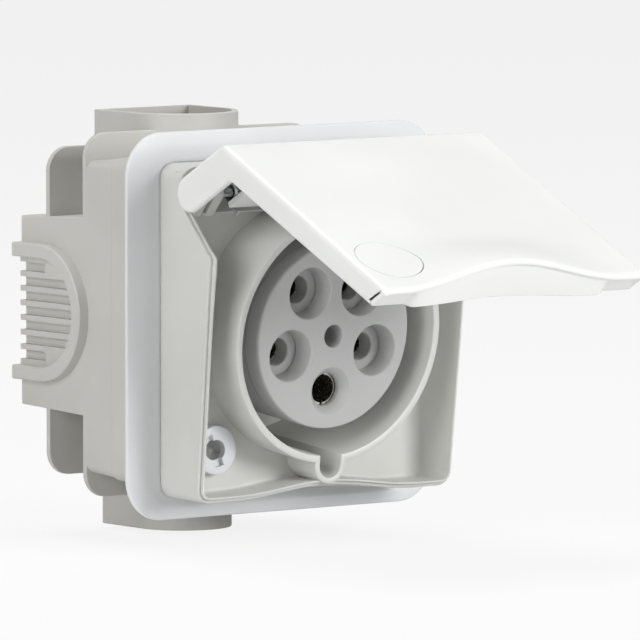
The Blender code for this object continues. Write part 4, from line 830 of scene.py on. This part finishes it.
def rebate_section(x):
    """A step inside the skirt's edge; it clears the housing's lip when the lid is shut."""
    high = lid_corner - off_plate * (SKIRT - 1.3)
    low = lid_corner - off_plate * (SKIRT + 1.7)
    end = along_plate * (foot_length(x) - 0.6)
    points = [crossing(high, along_plate, off_leg * -LEG_HALF, along_leg), high + end, low + end]
    points.append(crossing(low, along_plate, off_leg * -LEG_HALF, along_leg))
    return [(x, p.x, p.y) for p in points]


rebate_x = [LID_HALF - 1.0] + [abs(x) for x in hollow_x[1:18]] + [0]
rebate_x = [-x for x in rebate_x[:-1]] + list(reversed(rebate_x))
work_in(lid, loft("lid_rebate", [rebate_section(x) for x in rebate_x]), "DIFFERENCE")

# A web closes the leg's underside in front of the hinge and steps back towards the middle
web_parts = []
foot = off_leg * -LEG_HALF
corner = crossing(lid_corner - off_plate * SKIRT, along_plate, foot, along_leg)
reach = (corner - foot).dot(along_leg)
for low_x, high_x, start in ((-29.9, -20.2, 0.8), (-20.3, 20.3, 3.0), (20.2, 29.9, 0.8)):
    thick = off_leg * 1.4
    outline = [foot + along_leg * start, foot + along_leg * reach, foot + along_leg * (reach - 1.2) + thick,
               foot + along_leg * start + thick]
    web_parts.append(loft("web", [[(x, p.x, p.y) for p in outline] for x in (low_x, high_x)]))
for side in (-1, 1):
    rings = []
    for x, radius in ((40.1, 2.25), (38.25, 2.25), (38.0, 2.0)):
        rings.append([(side * x, y, z) for y, z in bend((0, 0), radius, 0, 350, 35)])
    web_parts.append(loft("pivot_boss", rings))
gather(lid, web_parts)

# A round mark is engraved near the free end
MARK_X = -30.0
mark_centre = lid_corner + along_plate * 58.5
groove = []
for radius, depth in ((8.7, 1.0), (8.7, -0.3), (8.54, -0.4), (8.38, -0.3), (8.38, 1.0)):
    ring = []
    for i in range(96):
        angle = 2 * math.pi * i / 96
        p = mark_centre + along_plate * (radius * math.sin(angle)) + off_plate * depth
        ring.append((MARK_X + radius * math.cos(angle), p.x, p.y))
    groove.append(ring)
work_in(lid, loft("mark", groove, closed=True), "DIFFERENCE")
TO_HINGE = Matrix.Translation(Vector((0, HINGE[0], HINGE[1])) / 1000) @ Matrix.Rotation(-OPEN_ANGLE, 4, "X")
lid.data.transform(TO_HINGE)
smooth(lid)
lid.data.materials.clear()
lid.data.materials.append(lid_plastic)
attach(lid, "lid")
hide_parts("lid")


# The small metal pieces and the seals keep their frame shapes and get their own finishes.
def plated(name, colour, roughness):
    """A thin bright plating over drawn or turned metal: near mirror, with faint draw lines along it."""
    material = bpy.data.materials.new(name)
    material.use_nodes = True
    tree = material.node_tree
    shader = tree.nodes["Principled BSDF"]
    shader.inputs["Metallic"].default_value = 1.0
    shader.inputs["Base Color"].default_value = (*srgb(colour), 1)
    place = add_node(tree, "ShaderNodeTexCoord").outputs["Object"]
    lines = add_node(tree, "ShaderNodeTexNoise", {"Scale": 1000 / 0.5, "Detail": 2.0}, {"Vector": place})
    dull = add_node(tree, "ShaderNodeMapRange", {"To Min": roughness - 0.08, "To Max": roughness + 0.08},
                    {"Value": lines.outputs["Fac"]})
    tree.links.new(dull.outputs["Result"], shader.inputs["Roughness"])
    return material


zinc = plated("zinc_plated_steel", "C9CBCE", 0.30)
nickel = plated("nickel_plated_brass", "D4CFC2", 0.26)
black_nylon = moulded("nylon_carrier_black", "2A2B2D", "242527", 0.5, 0.7, 0.3)
seal_rubber = moulded("rubber_seal_dark", "2B2B2C", "232324", 0.75, 0.5, 0.4)
finishes = {zinc: ["hinge_pin", "lid_spring", "centre_screw", "carrier_screw_left", "carrier_screw_right"],
            nickel: [], black_nylon: ["contact_carrier"], seal_rubber: ["wall_gasket", "lid_seal"]}
for pole in ("earth", "neutral", "line_1", "line_2", "line_3"):
    finishes[nickel].append("contact_" + pole)
    finishes[zinc].append("terminal_screw_" + pole)
for material, names in finishes.items():
    for name in names:
        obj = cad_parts[name]
        obj.data.materials.clear()
        obj.data.materials.append(material)

# Stage: a pale floor just under the lower spigot, soft lamps, and the camera of the photograph.
white = bpy.data.materials.new("studio_floor")
white.use_nodes = True
tree = white.node_tree
shader = tree.nodes["Principled BSDF"]
shader.inputs["Base Color"].default_value = (0.9, 0.9, 0.9, 1)
shader.inputs["Roughness"].default_value = 0.9
rays = add_node(tree, "ShaderNodeLightPath")
glow = add_node(tree, "ShaderNodeEmission", {"Color": (1, 1, 1, 1), "Strength": 1.0})
share = add_node(tree, "ShaderNodeMath", {1: 0.85}, {0: rays.outputs["Is Camera Ray"]},
                 operation="MULTIPLY")
blend = add_node(tree, "ShaderNodeMixShader",
                 links={0: share.outputs[0], 1: shader.outputs[0], 2: glow.outputs[0]})
tree.links.new(blend.outputs[0], tree.nodes["Material Output"].inputs["Surface"])
FLOOR_LEVEL = -0.0565
floor_mesh = bpy.data.meshes.new("floor")
corners = [(x, y, FLOOR_LEVEL) for x, y in ((-6, -6), (6, -6), (6, 6), (-6, 6))]
floor_mesh.from_pydata(corners, [], [(0, 1, 2, 3)])
floor_mesh.materials.append(white)
studio_floor = bpy.data.objects.new("studio_floor", floor_mesh)
bpy.context.scene.collection.objects.link(studio_floor)

world = bpy.data.worlds.new("studio")
bpy.context.scene.world = world
world.use_nodes = True
tree = world.node_tree
for old in list(tree.nodes):
    tree.nodes.remove(old)
rays = add_node(tree, "ShaderNodeLightPath")
seen = rays.outputs["Is Camera Ray"]
for kind in ("Is Glossy Ray", "Is Transmission Ray"):
    either = add_node(tree, "ShaderNodeMath", links={0: seen, 1: rays.outputs[kind]}, operation="MAXIMUM")
    seen = either.outputs[0]
light = add_node(tree, "ShaderNodeBackground", {"Color": (1, 1, 1, 1), "Strength": 0.07})
backdrop = add_node(tree, "ShaderNodeBackground", {"Color": (1, 1, 1, 1), "Strength": 1.0})
pick = add_node(tree, "ShaderNodeMixShader", links={0: seen, 1: light.outputs[0], 2: backdrop.outputs[0]})
add_node(tree, "ShaderNodeOutputWorld", links={"Surface": pick.outputs[0]})

TARGET = Vector((0, -0.075, 0))


def lamp(name, place, size, watts):
    """A square soft lamp that faces the socket."""
    data = bpy.data.lights.new(name, "AREA")
    data.size = size
    data.energy = watts
    obj = bpy.data.objects.new(name, data)
    obj.location = place
    obj.rotation_euler = (TARGET - Vector(place)).to_track_quat("-Z", "Y").to_euler()
    bpy.context.scene.collection.objects.link(obj)


lamp("key", (0.5, -1.45, 0.45), 0.7, 15.5)
lamp("side", (-1.4, -0.42, 0.45), 0.9, 11)
lamp("top", (-0.1, 0.1, 1.4), 0.8, 9.5)

# The camera stands 2.58 m away, to the left and a little above, on a long lens.
AZIMUTH = math.radians(37.67)
ELEVATION = math.radians(4.93)
right_way = Vector((math.cos(AZIMUTH), -math.sin(AZIMUTH), 0))
back_way = Vector((-math.sin(AZIMUTH) * math.cos(ELEVATION), -math.cos(AZIMUTH) * math.cos(ELEVATION),
                   math.sin(ELEVATION)))
up_way = back_way.cross(right_way)
camera_data = bpy.data.cameras.new("camera")
camera_data.sensor_width = 36
camera_data.lens = 580.9
camera = bpy.data.objects.new("camera", camera_data)
# Its axis passes the cover frame's middle a little to the right and below
DISTANCE, RIGHT_BY, DOWN_BY = 2.578, 0.009484, 0.000312
place = Vector((0, FRAME_FRONT / 1000, 0)) + back_way * DISTANCE + right_way * RIGHT_BY - up_way * DOWN_BY
turn = Matrix((right_way, up_way, back_way)).transposed().to_4x4()
camera.matrix_world = Matrix.Translation(place) @ turn
bpy.context.scene.collection.objects.link(camera)
bpy.context.scene.camera = camera
bpy.context.scene.view_settings.view_transform = "Standard"
